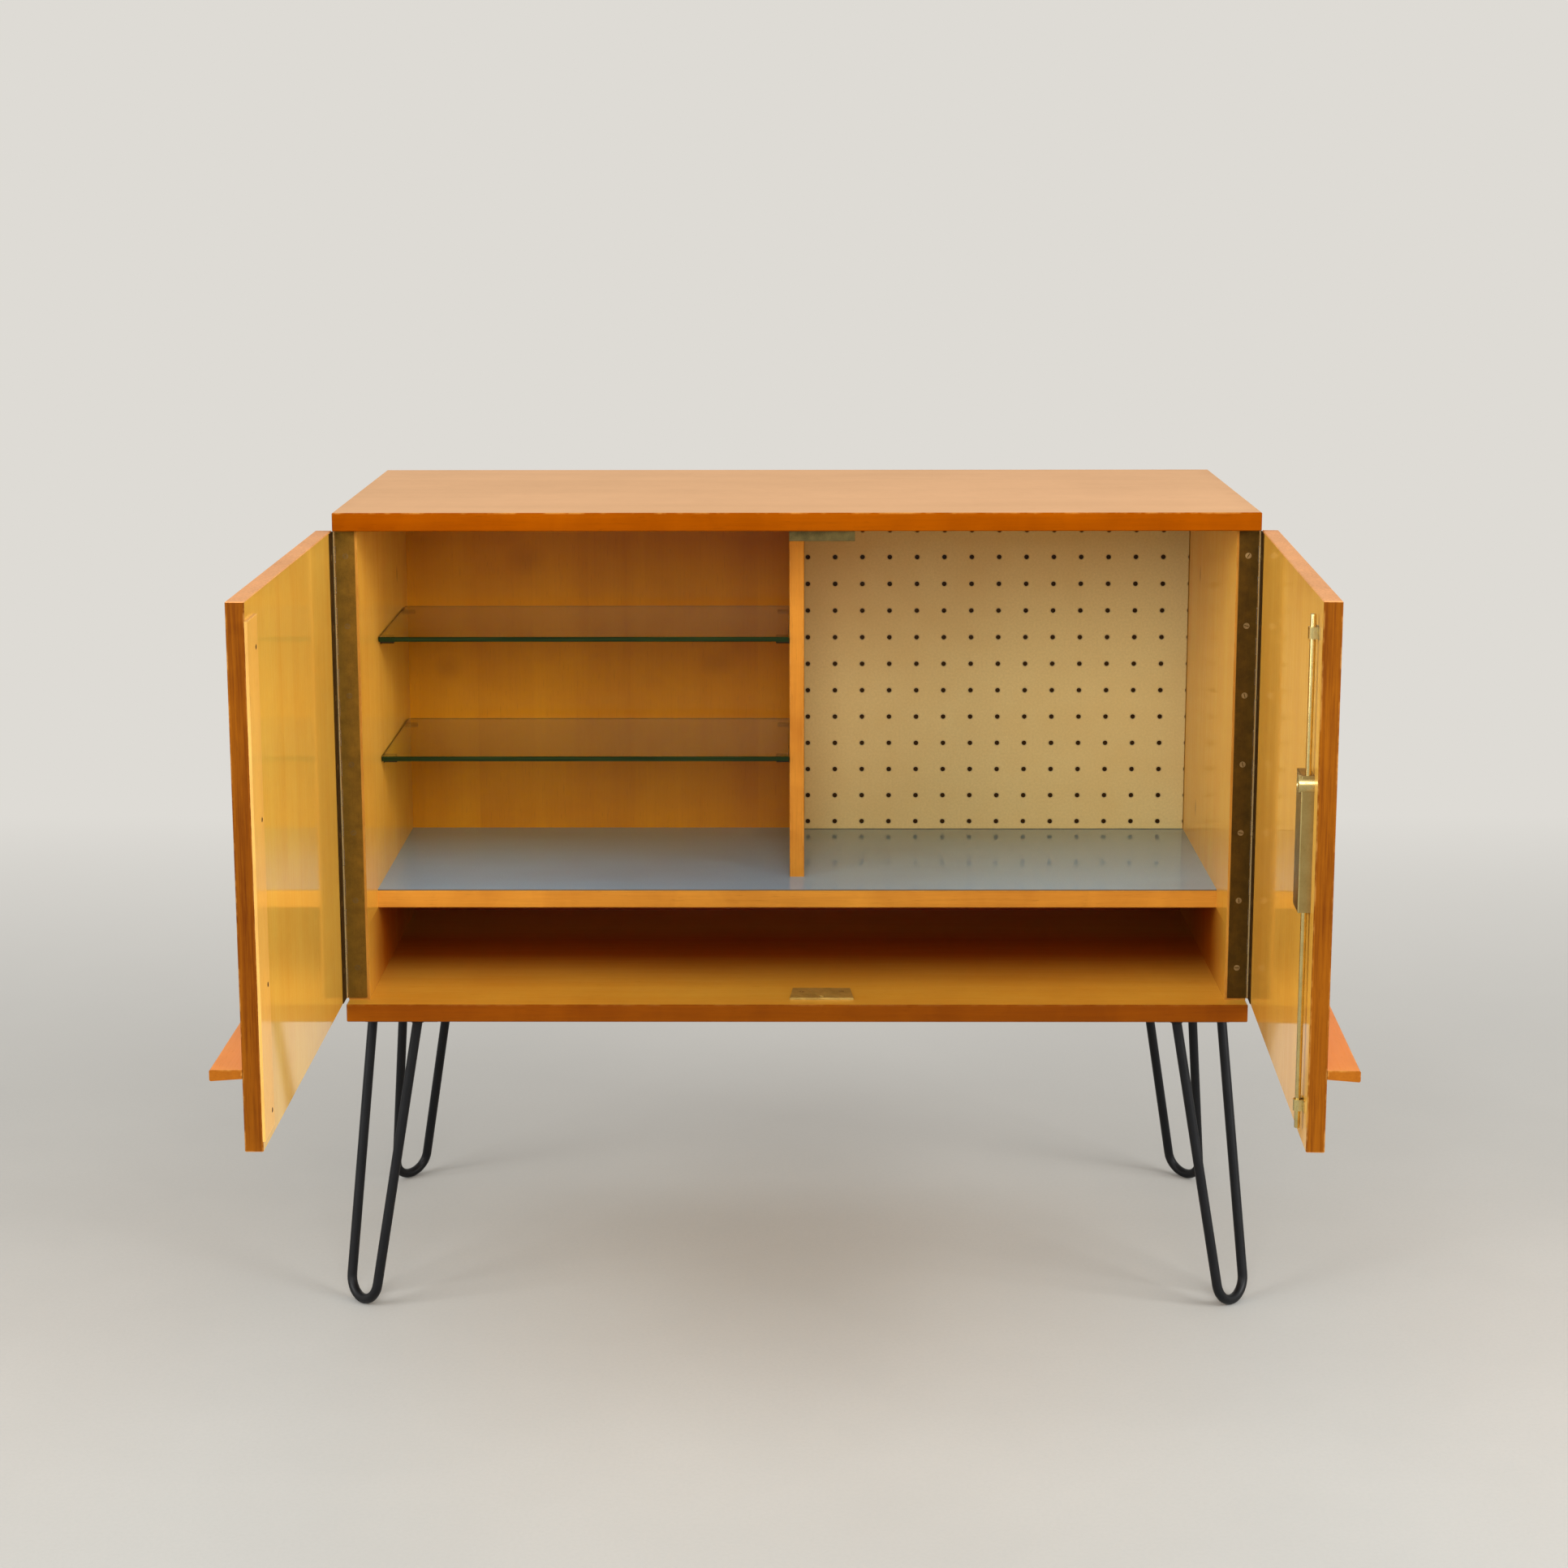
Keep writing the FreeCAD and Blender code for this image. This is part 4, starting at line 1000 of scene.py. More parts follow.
class CABINET_OT_hinges(bpy.types.Operator):
    """Models the continuous hinges with fine rolled knuckles, and drives their screws"""

    bl_idname = "cabinet.hinges"
    bl_label = "Continuous hinges"

    def execute(self, context):
        clean = context.scene.cabinet_colours.hinge
        for hand, side in SIDE_NAME.items():
            axis = (hand * HINGE_X, HINGE_Y)
            frame_brass = metal(side + "_hinge_aged_brass", clean if hand < 0 else None, axis)
            # the door leaves get a darker copy of the hinge brass: painted shade
            door_brass = metal(side + "_hinge_dark_brass", None, axis, "hinge_dark_brass")
            for on_door, kind, body, brass in (
                    (False, "frame", "cabinet", frame_brass), (True, "door", side + "_door", door_brass)):
                node = side + "_hinge_" + kind + "_leaf"
                leaf = self.make_leaf(node + "_rolled", hand, on_door, context.scene.cabinet_sizes.knuckles)
                hand_over(leaf, body, "hinge_brass", brass, node)
            dress(side + "_hinge_pin", metal(side + "_pin_steel", kind="pin_steel"))
        # nearly flush heads, so that the leaves close on each other
        sizes, chance, flush = (6, 2.6, 1.6, 14), random.Random(7), 0.012
        places = self.screw_places(-1, False) + self.screw_places(1, False)
        rows = drive_screws("frame_hinge_screws_slotted", sizes, places, chance, dome_share=flush)
        brass = metal("hinge_screw_brass")
        # the right hinge's screws get a paler brass than the left's
        two_finishes(rows, brass, metal("rubbed_screw_brass"), lambda face: face.center.x > 0)
        hand_over(rows, "cabinet", "screw_steel", brass, "frame_hinge_screws")
        for hand, side in SIDE_NAME.items():
            node = side + "_door_hinge_screws"
            row = drive_screws(
                node + "_slotted", sizes, self.screw_places(hand, True), chance, dome_share=flush)
            hand_over(swing(row, hand), side + "_door", "screw_steel", brass, node)
        return {"FINISHED"}

    def screw_places(self, hand, on_door):
        """The places of the screws in one leaf, on the shut door."""
        step = (HINGE_HIGH - HINGE_LOW - 2 * HINGE_SCREW_END) / (HINGE_SCREWS - 1)
        x = hand * (HINGE_X - HINGE_SCREW_LINE)
        y, way = (DOOR_INNER + LEAF, 1) if on_door else (SIDE_FRONT - LEAF, -1)
        return [((x, y, HINGE_LOW + HINGE_SCREW_END + HINGE_SCREW_RISE + step * number), (0, way, 0))
                for number in range(HINGE_SCREWS)]

    def make_leaf(self, name, hand, on_door, count):
        """One leaf: a bevelled plate and every second knuckle, each a short tube rolled from the plate."""
        y0 = DOOR_INNER if on_door else SIDE_FRONT - LEAF
        near = hand * (HINGE_X - KNUCKLE / 2 - 0.06 * MM)
        far = hand * (HINGE_X - LEAF_WIDTH)
        plate = block("hinge_plate", (min(near, far), y0, HINGE_LOW), (max(near, far), y0 + LEAF, HINGE_HIGH))
        # the inner edge follows the roundness of the knuckles, so that no light shows between
        choose(plate, "VERT", lambda v: abs(v.co.x - near) < MM and abs(v.co.y - HINGE_Y) > LEAF_GAP)
        bpy.ops.transform.translate(value=(hand * 0.2 * MM, 0, 0))
        ease(plate, 0.18 * MM, edges_at(0, far, 1e-5), 1)
        pitch = (HINGE_HIGH - HINGE_LOW) / count
        low = HINGE_LOW + (pitch if on_door else 0) + KNUCKLE_ROOM / 2
        high = low + pitch - KNUCKLE_ROOM
        x = hand * HINGE_X
        tube = turned("knuckle", KNUCKLE / 2, (x, HINGE_Y, low), (x, HINGE_Y, high), 16, "NOTHING")
        apply_modifier(tube, "SOLIDIFY", thickness=(KNUCKLE - KNUCKLE_BORE) / 2, offset=-1.0)
        face_outward(tube)
        x0, x1 = sorted((hand * (HINGE_X - KNUCKLE_BORE / 2), near))
        knuckle = join("knuckle", [tube, block("knuckle_root", (x0, y0, low), (x1, y0 + LEAF, high))])
        repeat(knuckle, count // 2 if on_door else (count + 1) // 2, (0, 0, 2 * pitch))
        leaf = join(name, [plate, knuckle])
        return swing(leaf, hand) if on_door else leaf


def saddle(name, z):
    """A guide that arches over a lock rod and is screwed down on each side."""
    arch, bore = ROD / 2 + GUIDE_WALL, ROD / 2 + 0.08 * MM
    reach = arch + GUIDE_FOOT
    z0, z1 = z - GUIDE_HEIGHT / 2, z + GUIDE_HEIGHT / 2
    low, high = z0 - MM, z1 + MM
    guide = block(name, (ROD_X - reach, DOOR_INNER, z0), (ROD_X + reach, DOOR_INNER + GUIDE_FOOT_THICK, z1))
    weld_on(guide, block("guide_walls", (ROD_X - arch, DOOR_INNER, z0), (ROD_X + arch, ROD_Y, z1)))
    weld_on(guide, turned("guide_arch", arch, (ROD_X, ROD_Y, z0), (ROD_X, ROD_Y, z1)))
    cut_away(guide, block("guide_slot", (ROD_X - bore, DOOR_INNER - MM, low), (ROD_X + bore, ROD_Y, high)))
    cut_away(guide, turned("guide_bore", bore, (ROD_X, ROD_Y, low), (ROD_X, ROD_Y, high)))
    return ease(guide, 0.25 * MM, lambda e: sharp_edge(e, 1.2), 1)


def lock_rod(name, inner_z, tip_z):
    """A round lock rod with a rounded nose."""
    rod = turned(name, ROD / 2, (ROD_X, ROD_Y, inner_z), (ROD_X, ROD_Y, tip_z), 24)
    return ease(rod, 1.2 * MM, edges_at(2, tip_z), 3)


def rack(name, line, toward, low, high):
    """A toothed bar: line is its pitch line, and toward is the way along X that its teeth point."""
    root = line - toward * TOOTH_DEEP
    back, tip = root - toward * RACK_BAR, root + toward * (TOOTH_HIGH + TOOTH_DEEP)
    y0, y1 = ROD_Y - RACK_THICK / 2, ROD_Y + RACK_THICK / 2
    bar = block(name, (min(root, back), y0, low), (max(root, back), y1, high))
    margin = 0.5 + TOOTH_ROOT_HALF / TOOTH_PITCH
    first = math.ceil((low - GEAR_Z) / TOOTH_PITCH + margin)
    last = math.floor((high - GEAR_Z) / TOOTH_PITCH - margin)
    middle = GEAR_Z + TOOTH_PITCH * (first + 0.5)
    tooth = block("tooth", (min(root, tip), y0, middle - TOOTH_ROOT_HALF),
                  (max(root, tip), y1, middle + TOOTH_ROOT_HALF))
    choose(tooth, "FACE", faces_toward(toward, 0, 0))
    bpy.ops.transform.resize(
        value=(1, 1, TOOTH_TIP_HALF / TOOTH_ROOT_HALF), center_override=(tip, ROD_Y, middle))
    leave_edit()
    repeat(tooth, last - first + 1, (0, 0, TOOTH_PITCH))
    return join(name, [bar, tooth])


class CABINET_OT_lock(bpy.types.Operator):
    """Models the rod lock: cover and barrel, two rods with their racks, guides and key plate"""

    bl_idname = "cabinet.lock"
    bl_label = "Rod lock"

    def execute(self, context):
        brass, bright = metal("lock_brass", context.scene.cabinet_colours.brass), metal("rod_brass")
        door = "right_door"
        hand_over(swing(self.make_case(brass, bright), 1), door, "brass", brass, "lock_case")
        for name, z in zip(("upper", "lower"), GUIDE_SPOTS):
            guide = saddle(name + "_guide_saddle", z)
            hand_over(swing(guide, 1), door, "brass", bright, name + "_rod_guide")
        for name, rod in zip(("upper", "lower"), self.make_rods()):
            hand_over(swing(rod, 1), name + "_rod", "brass", bright, name + "_lock_rod")
        hand_over(swing(self.make_key_plate(), 1), door, "brass", brass, "keyhole_plate")
        screws = swing(self.make_screws(), 1)
        hand_over(screws, door, "screw_steel", metal("lock_screw_brass"), "lock_screws")
        dress("lock_pinion", metal("pinion_brass"))
        return {"FINISHED"}

    def make_case(self, brass, bright):
        """The cover, hollow toward the door, with the round, bright barrel at its upper corner."""
        z0, z1 = GEAR_Z - CASE_HEIGHT / 2, GEAR_Z + CASE_HEIGHT / 2
        y1 = DOOR_INNER + CASE_DEEP
        case = block("lock_cover", (CASE_LEFT, DOOR_INNER, z0), (CASE_LEFT + CASE_WIDTH, y1, z1))
        ease(case, 1.0 * MM, lambda e: sharp_edge(e) and any(f.normal.y > 0.9 for f in e.link_faces), 3)
        choose(case, "FACE", faces_toward(0, -1, 0))
        bpy.ops.mesh.inset(thickness=CASE_WALL)
        extrude(0, CASE_DEEP - CASE_WALL, 0)
        leave_edit()
        centre = Vector((CASE_LEFT + BARREL / 2 - 2 * MM, DOOR_INNER, z1 - BARREL / 2))
        barrel = turned("lock_barrel", BARREL / 2, centre, centre + Vector((0, CASE_DEEP + 2.5 * MM, 0)), 40)
        ease(barrel, 0.6 * MM, lambda e: all(point.co.y > y1 for point in e.verts), 3)
        choose(barrel, "FACE", faces_toward(0, 1, 0, 0.99))
        bpy.ops.mesh.inset(thickness=2.6 * MM)
        bpy.ops.mesh.inset(thickness=0.4 * MM, depth=-0.5 * MM)
        leave_edit()
        weld_on(case, barrel)
        cut_away(case, turned(
            "rod_passage", ROD / 2 + 0.08 * MM, (ROD_X, ROD_Y, z0 - MM), (ROD_X, ROD_Y, z1 + MM)))
        cut_away(case, turned("hub_bearing", HUB / 2 + 0.06 * MM, (GEAR_X, y1 - 3 * MM, GEAR_Z),
                              (GEAR_X, y1 + 3 * MM, GEAR_Z)))

        def is_bright(face):
            middle = face.center
            near = math.hypot(middle.x - centre.x, middle.z - centre.z) < BARREL / 2 + 0.1 * MM
            on_barrel = near and (middle.y > y1 - 0.1 * MM or middle.x < CASE_LEFT)
            return on_barrel or (face.normal.x < -0.2 and face.normal.y > 0.2)

        two_finishes(case, brass, bright, is_bright)
        return case

    def make_rods(self):
        """The two rods, each with the rack that the pinion drives."""
        low, high = GEAR_Z - TRAVEL - RACK_REACH, GEAR_Z + RACK_REACH
        upper = join("upper_rod_round", [
            lock_rod("upper_rod", high, DOOR_TOP - ROD_TIP),
            rack("upper_rack", GEAR_X - PITCH_RADIUS, 1, low, high)])
        foot_top, foot_bottom = low - RACK_THICK, low - 2 * RACK_THICK
        low, high = GEAR_Z - RACK_REACH, GEAR_Z + TRAVEL + RACK_REACH
        line = GEAR_X + PITCH_RADIUS
        root = line + TOOTH_DEEP
        y0, y1 = ROD_Y - RACK_THICK / 2, ROD_Y + RACK_THICK / 2
        lower = join("lower_rod_round", [
            lock_rod("lower_rod", foot_bottom + RACK_THICK / 2, DOOR_BOTTOM + ROD_TIP),
            rack("lower_rack", line, -1, low, high),
            block("rack_stem", (root, y0, foot_bottom), (root + RACK_BAR, y1, low)),
            block("rack_foot", (ROD_X - ROD / 2, y0, foot_bottom), (root, y1, foot_top))])
        return upper, lower

    def make_key_plate(self):
        """The round-ended plate round the keyhole, on the door's outer face."""
        y0, deep = FRONT - KEY_PLATE, DOOR_INNER + MM
        plate = turned("key_plate", KEY_PLATE_WIDTH / 2, (GEAR_X, FRONT, GEAR_Z), (GEAR_X, y0, GEAR_Z), 40)
        for way in (-1, 1):
            choose(plate, "VERT", lambda v, way=way: (v.co.z - GEAR_Z) * way > TINY)
            bpy.ops.transform.translate(value=(0, 0, way * (KEY_PLATE_HEIGHT - KEY_PLATE_WIDTH) / 2))
        leave_edit()
        ease(plate, 0.4 * MM, edges_at(1, y0), 3)
        cut_away(plate, turned("key_eye", 2.2 * MM, (GEAR_X, y0 - MM, GEAR_Z), (GEAR_X, deep, GEAR_Z), 24))
        cut_away(plate, block("key_slot", (GEAR_X - 1.1 * MM, y0 - MM, GEAR_Z - 7 * MM),
                              (GEAR_X + 1.1 * MM, deep, GEAR_Z)))
        return plate

    def make_screws(self):
        """The screws of the cover, the guides and the key plate."""
        chance = random.Random(11)
        x, y = CASE_LEFT + CASE_WIDTH - 5 * MM, DOOR_INNER + CASE_DEEP
        reach = ROD / 2 + GUIDE_WALL + GUIDE_FOOT / 2
        kinds = (
            ((5.6, 2.6, 1.4, 20.0), [
                ((x, y, GEAR_Z + way * (CASE_HEIGHT / 2 - 9 * MM)), (0, 1, 0)) for way in (-1, 1)]),
            ((4.4, 2.0, 1.1, 10.0), [
                ((ROD_X + way * reach, DOOR_INNER + GUIDE_FOOT_THICK, z), (0, 1, 0))
                for z in GUIDE_SPOTS for way in (-1, 1)]),
            ((3.6, 1.6, 0.9, 8.0), [
                ((GEAR_X, FRONT - KEY_PLATE, GEAR_Z + way * 12 * MM), (0, -1, 0)) for way in (-1, 1)]))
        return join("lock_screws_slotted", [
            drive_screws("lock_screws_row", sizes, places, chance) for sizes, places in kinds])


class CABINET_OT_strikes(bpy.types.Operator):
    """Models the strike plates that the lock rods shoot into, the upper one with its bent lip"""

    bl_idname = "cabinet.strikes"
    bl_label = "Strike plates"

    def execute(self, context):
        faces = ((CEILING, -1), (FLOOR_TOP, 1))
        # the upper plate takes a darker copy of the brass: painted shade
        for (face, way), name, kind in zip(faces, ("upper", "lower"), ("upper_strike_brass", "strike_brass")):
            plate = self.make_plate(name + "_strike_plate", face, way)
            hand_over(plate, "cabinet", "brass", metal(kind), name + "_strike")
        places = [((ROD_X + x * MM, STRIKE_FRONT + 22 * MM, face + way * STRIKE), (0, 0, way))
                  for face, way in faces for x in (-20, 20)]
        screws = drive_screws("strike_screws_slotted", (6, 2.8, 1.6, 14), places, random.Random(17))
        hand_over(screws, "cabinet", "screw_steel", metal("strike_screw_brass"), "strike_screws")
        return {"FINISHED"}

    def make_plate(self, name, face, way):
        """A plate that narrows to the rear; way is 1 where it stands on the floor, -1 where it hangs."""
        x0, x1 = ROD_X - STRIKE_WIDTH / 2, ROD_X + STRIKE_WIDTH / 2
        y1 = STRIKE_FRONT + STRIKE_DEEP
        z0, z1 = sorted((face, face + way * STRIKE))

        def corners(axis, place):
            """A test for the short edges at the corners of one end."""
            return lambda e: edges_at(axis, place, MM)(e) and abs(e.verts[0].co.x - e.verts[1].co.x) < TINY

        plate = block(name, (x0, STRIKE_FRONT, z0), (x1, y1, z1))
        choose(plate, "VERT", lambda v: v.co.y > y1 - MM)
        bpy.ops.transform.resize(
            value=(1 - 2 * STRIKE_TAPER / STRIKE_WIDTH, 1, 1), center_override=(ROD_X, y1, face))
        leave_edit()
        ease(plate, STRIKE_CORNER, corners(1, y1), 4)
        if way < 0:
            low = CEILING - STRIKE_LIP
            lip = block("strike_lip", (x0, STRIKE_FRONT, low), (x1, STRIKE_FRONT + STRIKE_LIP_THICK, CEILING))
            weld_on(plate, ease(lip, STRIKE_CORNER, corners(2, low), 4))
        cut_away(plate, turned(
            "strike_bore", STRIKE_HOLE / 2, (ROD_X, ROD_Y, z0 - MM), (ROD_X, ROD_Y, z1 + MM)))
        return ease(plate, 0.3 * MM, lambda e: sharp_edge(e) and any(
            f.normal.z * way > 0.9 for f in e.link_faces))


class CABINET_OT_strip_screws(bpy.types.Operator):
    """Drives the four small screws that hold the closing strip to the left door"""

    bl_idname = "cabinet.strip_screws"
    bl_label = "Closing strip screws"

    def execute(self, context):
        span = DOOR_TOP - DOOR_BOTTOM
        places = [((-31 * MM, DOOR_INNER + 3 * MM, DOOR_BOTTOM + part * span), (0, 1, 0))
                  for part in (0.058, 0.294, 0.598, 0.910)]
        screws = drive_screws("closing_strip_screws", (4.6, 2.2, 1.2, 12), places, random.Random(23))
        hand_over(swing(screws, -1), "left_door", "screw_steel", metal("strip_screw_steel"))
        return {"FINISHED"}


class CABINET_OT_legs(bpy.types.Operator):
    """Bends one hairpin leg from round rod, welds it, and mirrors it to the four corners"""

    bl_idname = "cabinet.legs"
    bl_label = "Hairpin legs"

    def execute(self, context):
        sizes = context.scene.cabinet_sizes
        coat = powder_coat("black_powder_coat", context.scene.cabinet_colours.steel)
        patterns = (("", "_hairpin", self.make_leg(sizes.leg_rod / 2, sizes.weld)),
                    ("_plate", "_plate_eased", self.make_plate()))
        places = []
        for end, end_name in ((-1, "front"), (1, "rear")):
            for hand, side in SIDE_NAME.items():
                node = end_name + "_" + side + "_leg"
                for of_node, of_piece, pattern in patterns:
                    piece = copy_to(pattern, Matrix.Diagonal((-hand, -end, 1, 1)), node + of_piece)
                    hand_over(piece, "cabinet", "black_steel", coat, node + of_node)
                places += [((hand * (HALF - LEG_PLATE_EDGE - x * MM), end * (REAR - LEG_PLATE_EDGE - y * MM),
                             LEG_TOP), (0, 0, -1)) for x, y in LEG_SCREW_SPOTS]
        for _, _, pattern in patterns:
            bpy.data.objects.remove(pattern)
        screws = drive_screws("leg_screws_cross", (8, 4, 3, 16), places, random.Random(31), cross=True)
        hand_over(screws, "cabinet", "screw_steel", metal("leg_screw_steel"), "leg_screws")
        return {"FINISHED"}

    def make_plate(self):
        """The front left leg's plate: its corners are cut, and its lower edges are eased."""
        spare = 3 * MM
        corner = Vector((-HALF + LEG_PLATE_EDGE + spare, FRONT + LEG_PLATE_EDGE + spare, LEG_TOP))
        size = LEG_PLATE_SIZE - spare
        plate = block("leg_plate", corner, corner + Vector((size, size, LEG_PLATE)))
        for end, cut in ((0, 8 * MM), (2 * size, LEG_PLATE_CUT)):
            sum_there = corner.x + corner.y + end
            ease(plate, cut, lambda e, sum_there=sum_there: all(
                abs(point.co.x + point.co.y - sum_there) < MM for point in e.verts), 1)
        return ease(plate, 0.8 * MM, edges_at(2, LEG_TOP))

    def make_leg(self, radius, weld):
        """The front left leg, one rod: down, round the bend at the floor and up again, cut off level under
        its plate and welded to it."""
        outward, across = Vector((-1, -1, 0)).normalized(), Vector((-1, 1, 0)).normalized()
        lean = math.cos(LEG_LEAN)
        up = UP * lean - outward * math.sin(LEG_LEAN)
        head = Vector((-HALF + LEG_INSET, FRONT + LEG_INSET, LEG_TOP))
        centre = head - up * ((LEG_TOP - LEG_BEND * lean - radius) / lean)
        rise = (head - centre).length
        reach = math.hypot(LEG_SPREAD / 2, rise)
        part = math.atan2(LEG_SPREAD / 2, rise) - math.asin(LEG_BEND / reach)
        run = math.sqrt(reach ** 2 - LEG_BEND ** 2) + 10 * MM
        feet = [centre + across * (way * LEG_BEND * math.cos(part)) - up * (LEG_BEND * math.sin(part))
                for way in (-1, 1)]
        climbs = [across * (way * math.sin(part)) + up * math.cos(part) for way in (-1, 1)]
        start = feet[0] + climbs[0] * run
        clear_selection()
        bpy.ops.mesh.primitive_circle_add(
            vertices=24, radius=radius, fill_type="NOTHING", location=start,
            rotation=climbs[0].to_track_quat("Z", "Y").to_euler())
        leg = settle("hairpin")
        choose(leg, "EDGE", lambda edge: True)
        extrude(*(feet[0] - start))
        # the spin tool turns clockwise seen along its axis, so the angle is negative to pass under the centre
        bpy.ops.mesh.spin(
            steps=20, angle=2 * part - math.pi, center=centre, axis=across.cross(up).normalized())
        extrude(*(climbs[1] * run))
        bpy.ops.mesh.select_all(action="SELECT")
        bpy.ops.mesh.remove_doubles(threshold=TINY)
        bpy.ops.mesh.bisect(plane_co=(0, 0, LEG_TOP), plane_no=UP, use_fill=True, clear_outer=True)
        leave_edit()
        face_outward(leg)
        pieces = [leg]
        for foot, climb in zip(feet, climbs):
            top = foot + climb * ((LEG_TOP - foot.z) / climb.z)
            clear_selection()
            bpy.ops.mesh.primitive_torus_add(
                major_radius=radius + 0.2 * weld, minor_radius=0.55 * weld, major_segments=28,
                minor_segments=8, location=top - UP * (0.45 * weld))
            pieces.append(settle("weld"))
        return join("hairpin", pieces)


def seen_share(tree):
    """1 where the eye, a mirror or glass looks at a surface, 0 where the surface only lights others."""
    rays = add(tree, "LightPath", {})
    return (rays["Is Camera Ray"] + (rays["Is Glossy Ray"] + rays["Is Transmission Ray"])).held()


def blend(tree, factor, first, second, output):
    """Mixes a node's shader with a second shader into the output node."""
    both = add(tree, "MixShader", {0: factor, 1: Value(first.outputs[0]), 2: second})[0]
    feed(tree.nodes[output].inputs["Surface"], both)


class CABINET_OT_stage(bpy.types.Operator):
    """Sets up the pale floor, the soft lamps, the sky and the camera"""

    bl_idname = "cabinet.stage"
    bl_label = "Stage, lamps and camera"

    def execute(self, context):
        stage = context.scene.cabinet_stage
        self.make_floor(stage)
        self.make_sky(stage)
        self.add_lamp("left_lamp", (-2.8, -1.9, 1.7), (0.0, -0.2, 0.5), 1.8, stage.left_power)
        self.add_lamp("right_lamp", (2.8, -1.9, 1.7), (0.0, -0.2, 0.5), 1.8, stage.right_power)
        self.add_lamp("fill_lamp", (0.0, -3.6, 2.1), (0.0, 0.0, 0.5), 1.6, stage.fill_power)
        self.add_camera(stage)
        context.scene.view_settings.view_transform = "Standard"
        return {"FINISHED"}

    def make_floor(self, stage):
        """A wide floor that fades into the backdrop, away from the cabinet."""
        clear_selection()
        bpy.ops.mesh.primitive_circle_add(vertices=96, radius=9.0, fill_type="TRIFAN", location=(0, 0, 0))
        floor = settle("stage_floor")
        material, shader, source = new_material("pale_floor", {"Roughness": 0.75, "Specular IOR Level": 0.2})
        tree, point = material.node_tree, source["Object"]
        cloud, grit = noise(point, 3.0, 5.0, 0.6), noise(point, 260.0, 3.0, 0.6)
        behind = point.parts()[1]
        colour = mix(cloud.remap(0.35, 0.65, 0.0, 0.35), stage.floor, scaled(stage.floor, 0.88))
        colour = mix(grit.remap(0.4, 0.7, 0.0, 0.2), colour, scaled(stage.floor, 0.84))
        # painted shade: the floor is darker toward the camera
        colour = mix(behind.remap(-1.7, -0.6, 0.95, 0.0), colour, scaled(stage.floor, 0.7))
        feed(shader.inputs["Base Color"], colour)
        far = maths("MAXIMUM", point.length().remap(1.5, 4.0), behind.remap(0.05, 2.0))
        glow = add(tree, "Emission", {"Color": stage.backdrop, "Strength": 1.0})[0]
        blend(tree, far * seen_share(tree), shader, glow, "Material Output")
        floor.data.materials.append(material)

    def make_sky(self, stage):
        """An even sky: plain light on the cabinet, and a pale backdrop to the eye and in reflections."""
        world = bpy.data.worlds.new("studio_sky")
        world.use_nodes = True
        bpy.context.scene.world = world
        tree = world.node_tree
        rise = add(tree, "TexCoord", {})["Generated"].parts()[2]
        light = tree.nodes["Background"]
        give(light, {"Color": (1.0, 0.985, 0.96),
                     "Strength": rise.remap(0.0, 0.9, 0.35 * stage.sky, 1.3 * stage.sky)})
        backdrop = add(tree, "Background", {"Color": stage.backdrop, "Strength": 1.0})[0]
        blend(tree, seen_share(tree), light, backdrop, "World Output")

    def add_lamp(self, name, place, target, size, power):
        """A square area lamp aimed at a point."""
        lamp = bpy.data.lights.new(name, "AREA")
        lamp.size = size
        lamp.energy = power
        holder = bpy.data.objects.new(name, lamp)
        bpy.context.scene.collection.objects.link(holder)
        holder.location = place
        way = Vector(target) - Vector(place)
        holder.rotation_euler = way.to_track_quat("-Z", "Y").to_euler()

    def add_camera(self, stage):
        """The camera, where the photograph was taken from: turned left, tilted down and turned about its own
        axis. The lens looks 120 pixels past the middle of the frame, which is square and 1932 pixels wide."""
        yaw, pitch, roll = 0.0066, 0.1844, -0.0015
        lens = bpy.data.cameras.new("photo_camera")
        lens.sensor_width = 36.0
        lens.lens = stage.lens
        lens.shift_y = -120 / 1932
        camera = bpy.data.objects.new("photo_camera", lens)
        bpy.context.scene.collection.objects.link(camera)
        camera.matrix_world = Matrix.Translation((0.00606, -2.9608, 1.1579))
        for angle, axis in ((yaw, "Z"), (math.pi / 2 - pitch, "X"), (roll, "Z")):
            camera.matrix_world @= Matrix.Rotation(angle, 4, axis)
        bpy.context.scene.camera = camera


class CABINET_PT_panel(bpy.types.Panel):
    """Lists the cabinet's settings and the steps that build it"""

    bl_idname = "CABINET_PT_panel"
    bl_label = "Storage cabinet"
    bl_space_type = "VIEW_3D"
    bl_region_type = "UI"
    bl_category = "Cabinet"

    def draw(self, context):
        for group, kind in SETTINGS.items():
            box = self.layout.box()
            box.label(text=group.split("_")[1].capitalize())
            for name in kind.__annotations__:
                box.prop(getattr(context.scene, group), name)
        for step in STEPS:
            self.layout.operator(step.bl_idname)


SETTINGS = {"cabinet_sizes": CabinetSizes, "cabinet_colours": CabinetColours, "cabinet_stage": CabinetStage}
STEPS = (CABINET_OT_stage, CABINET_OT_boards, CABINET_OT_pegboard, CABINET_OT_glass, CABINET_OT_hinges,
         CABINET_OT_lock, CABINET_OT_strikes, CABINET_OT_strip_screws, CABINET_OT_legs)
CLASSES = (*SETTINGS.values(), *STEPS, CABINET_PT_panel)


def register():
    """Registers the classes and hangs the settings on the scene."""
    for kind in CLASSES:
        bpy.utils.register_class(kind)
    for name, kind in SETTINGS.items():
        setattr(bpy.types.Scene, name, bpy.props.PointerProperty(type=kind))


def unregister():
    """Takes the settings and the classes away again."""
    for name in SETTINGS:
        delattr(bpy.types.Scene, name)
    for kind in reversed(CLASSES):
        bpy.utils.unregister_class(kind)


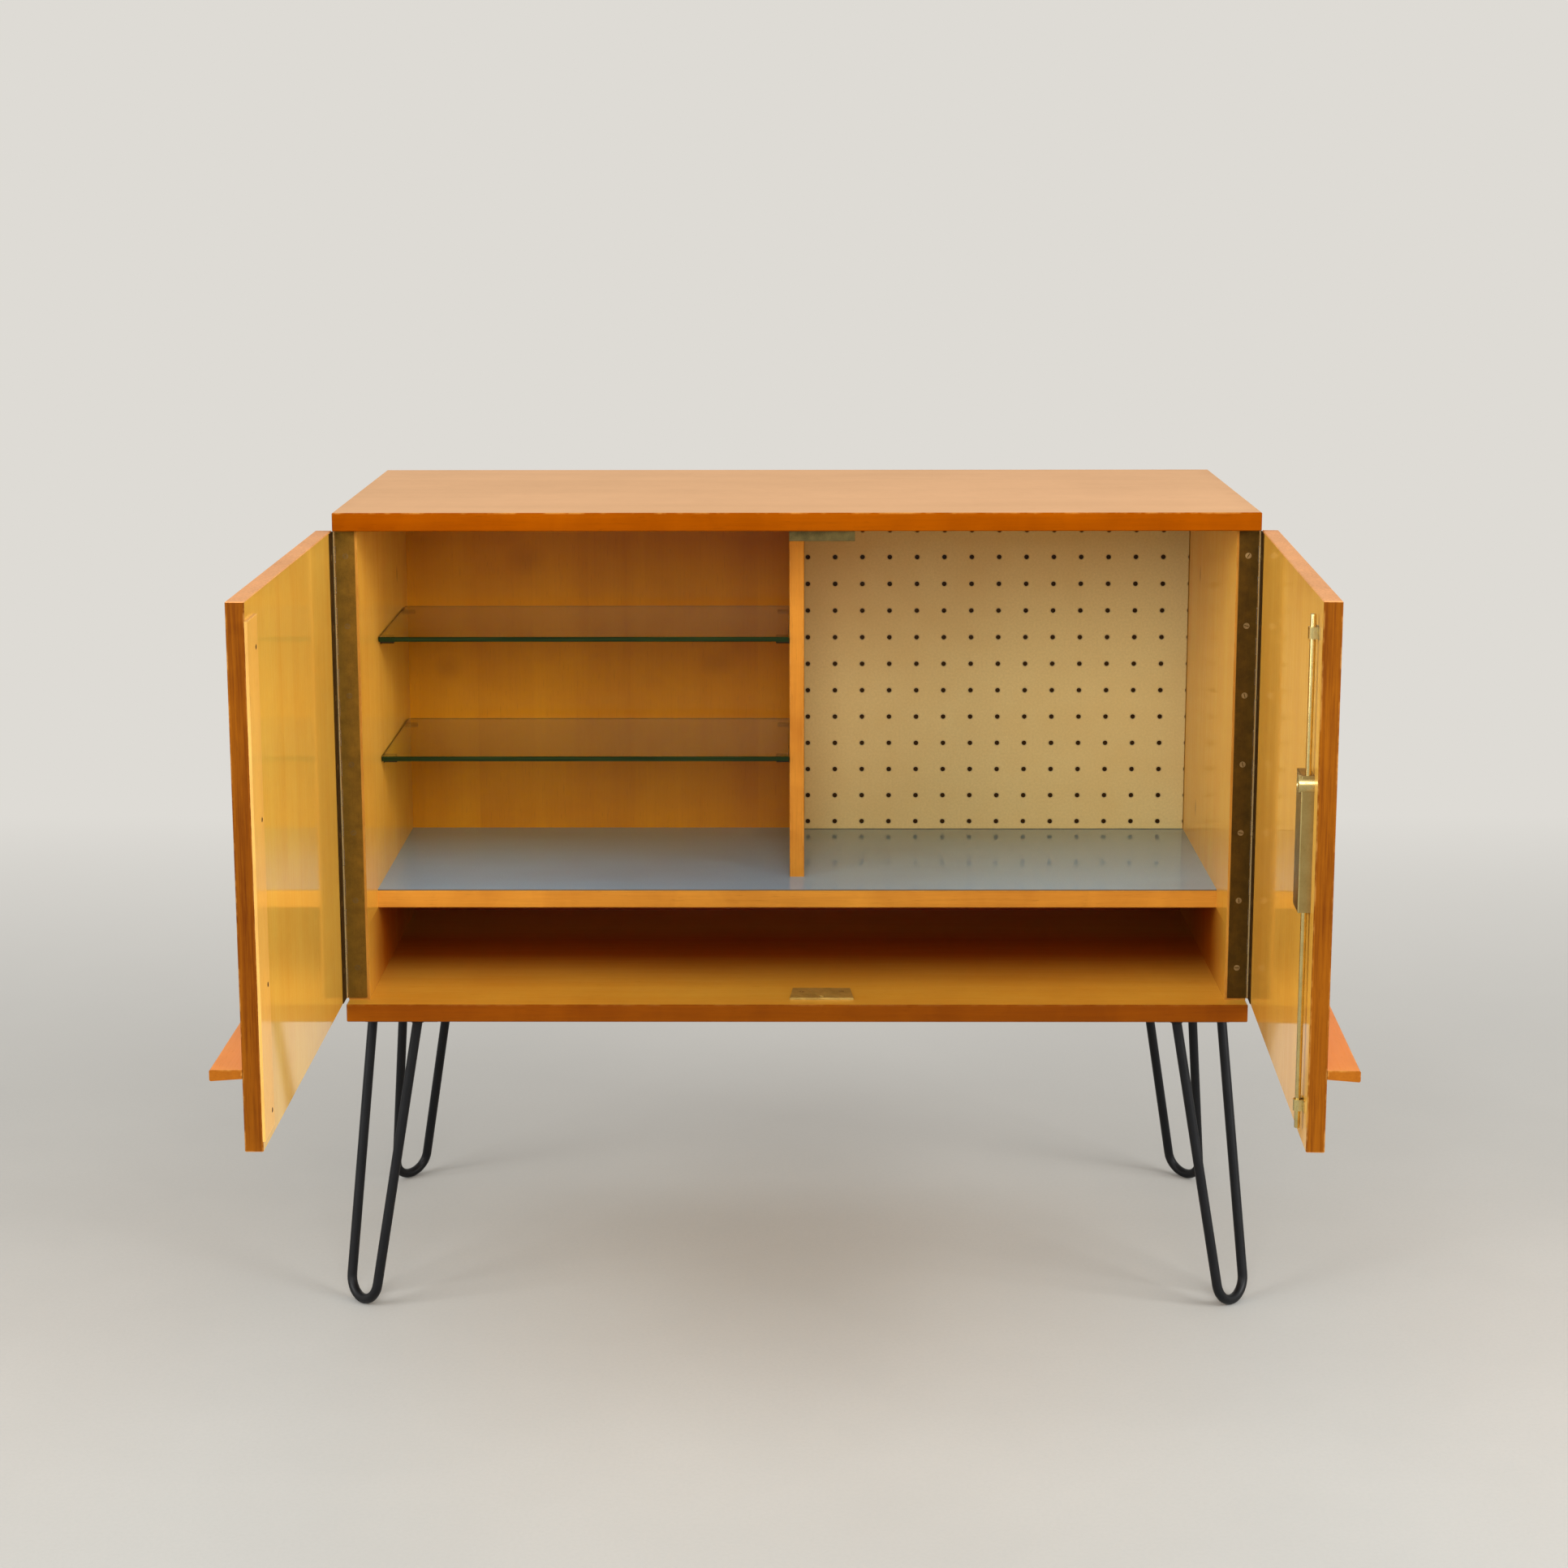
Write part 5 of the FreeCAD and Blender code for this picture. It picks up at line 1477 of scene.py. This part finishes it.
def main():
    """Builds everything in order."""
    register()
    bpy.ops.cabinet.stage()
    bpy.ops.cabinet.boards()
    bpy.ops.cabinet.pegboard()
    bpy.ops.cabinet.glass()
    bpy.ops.cabinet.hinges()
    bpy.ops.cabinet.lock()
    bpy.ops.cabinet.strikes()
    bpy.ops.cabinet.strip_screws()
    bpy.ops.cabinet.legs()
    clear_selection()


if __name__ == "__main__":
    main()
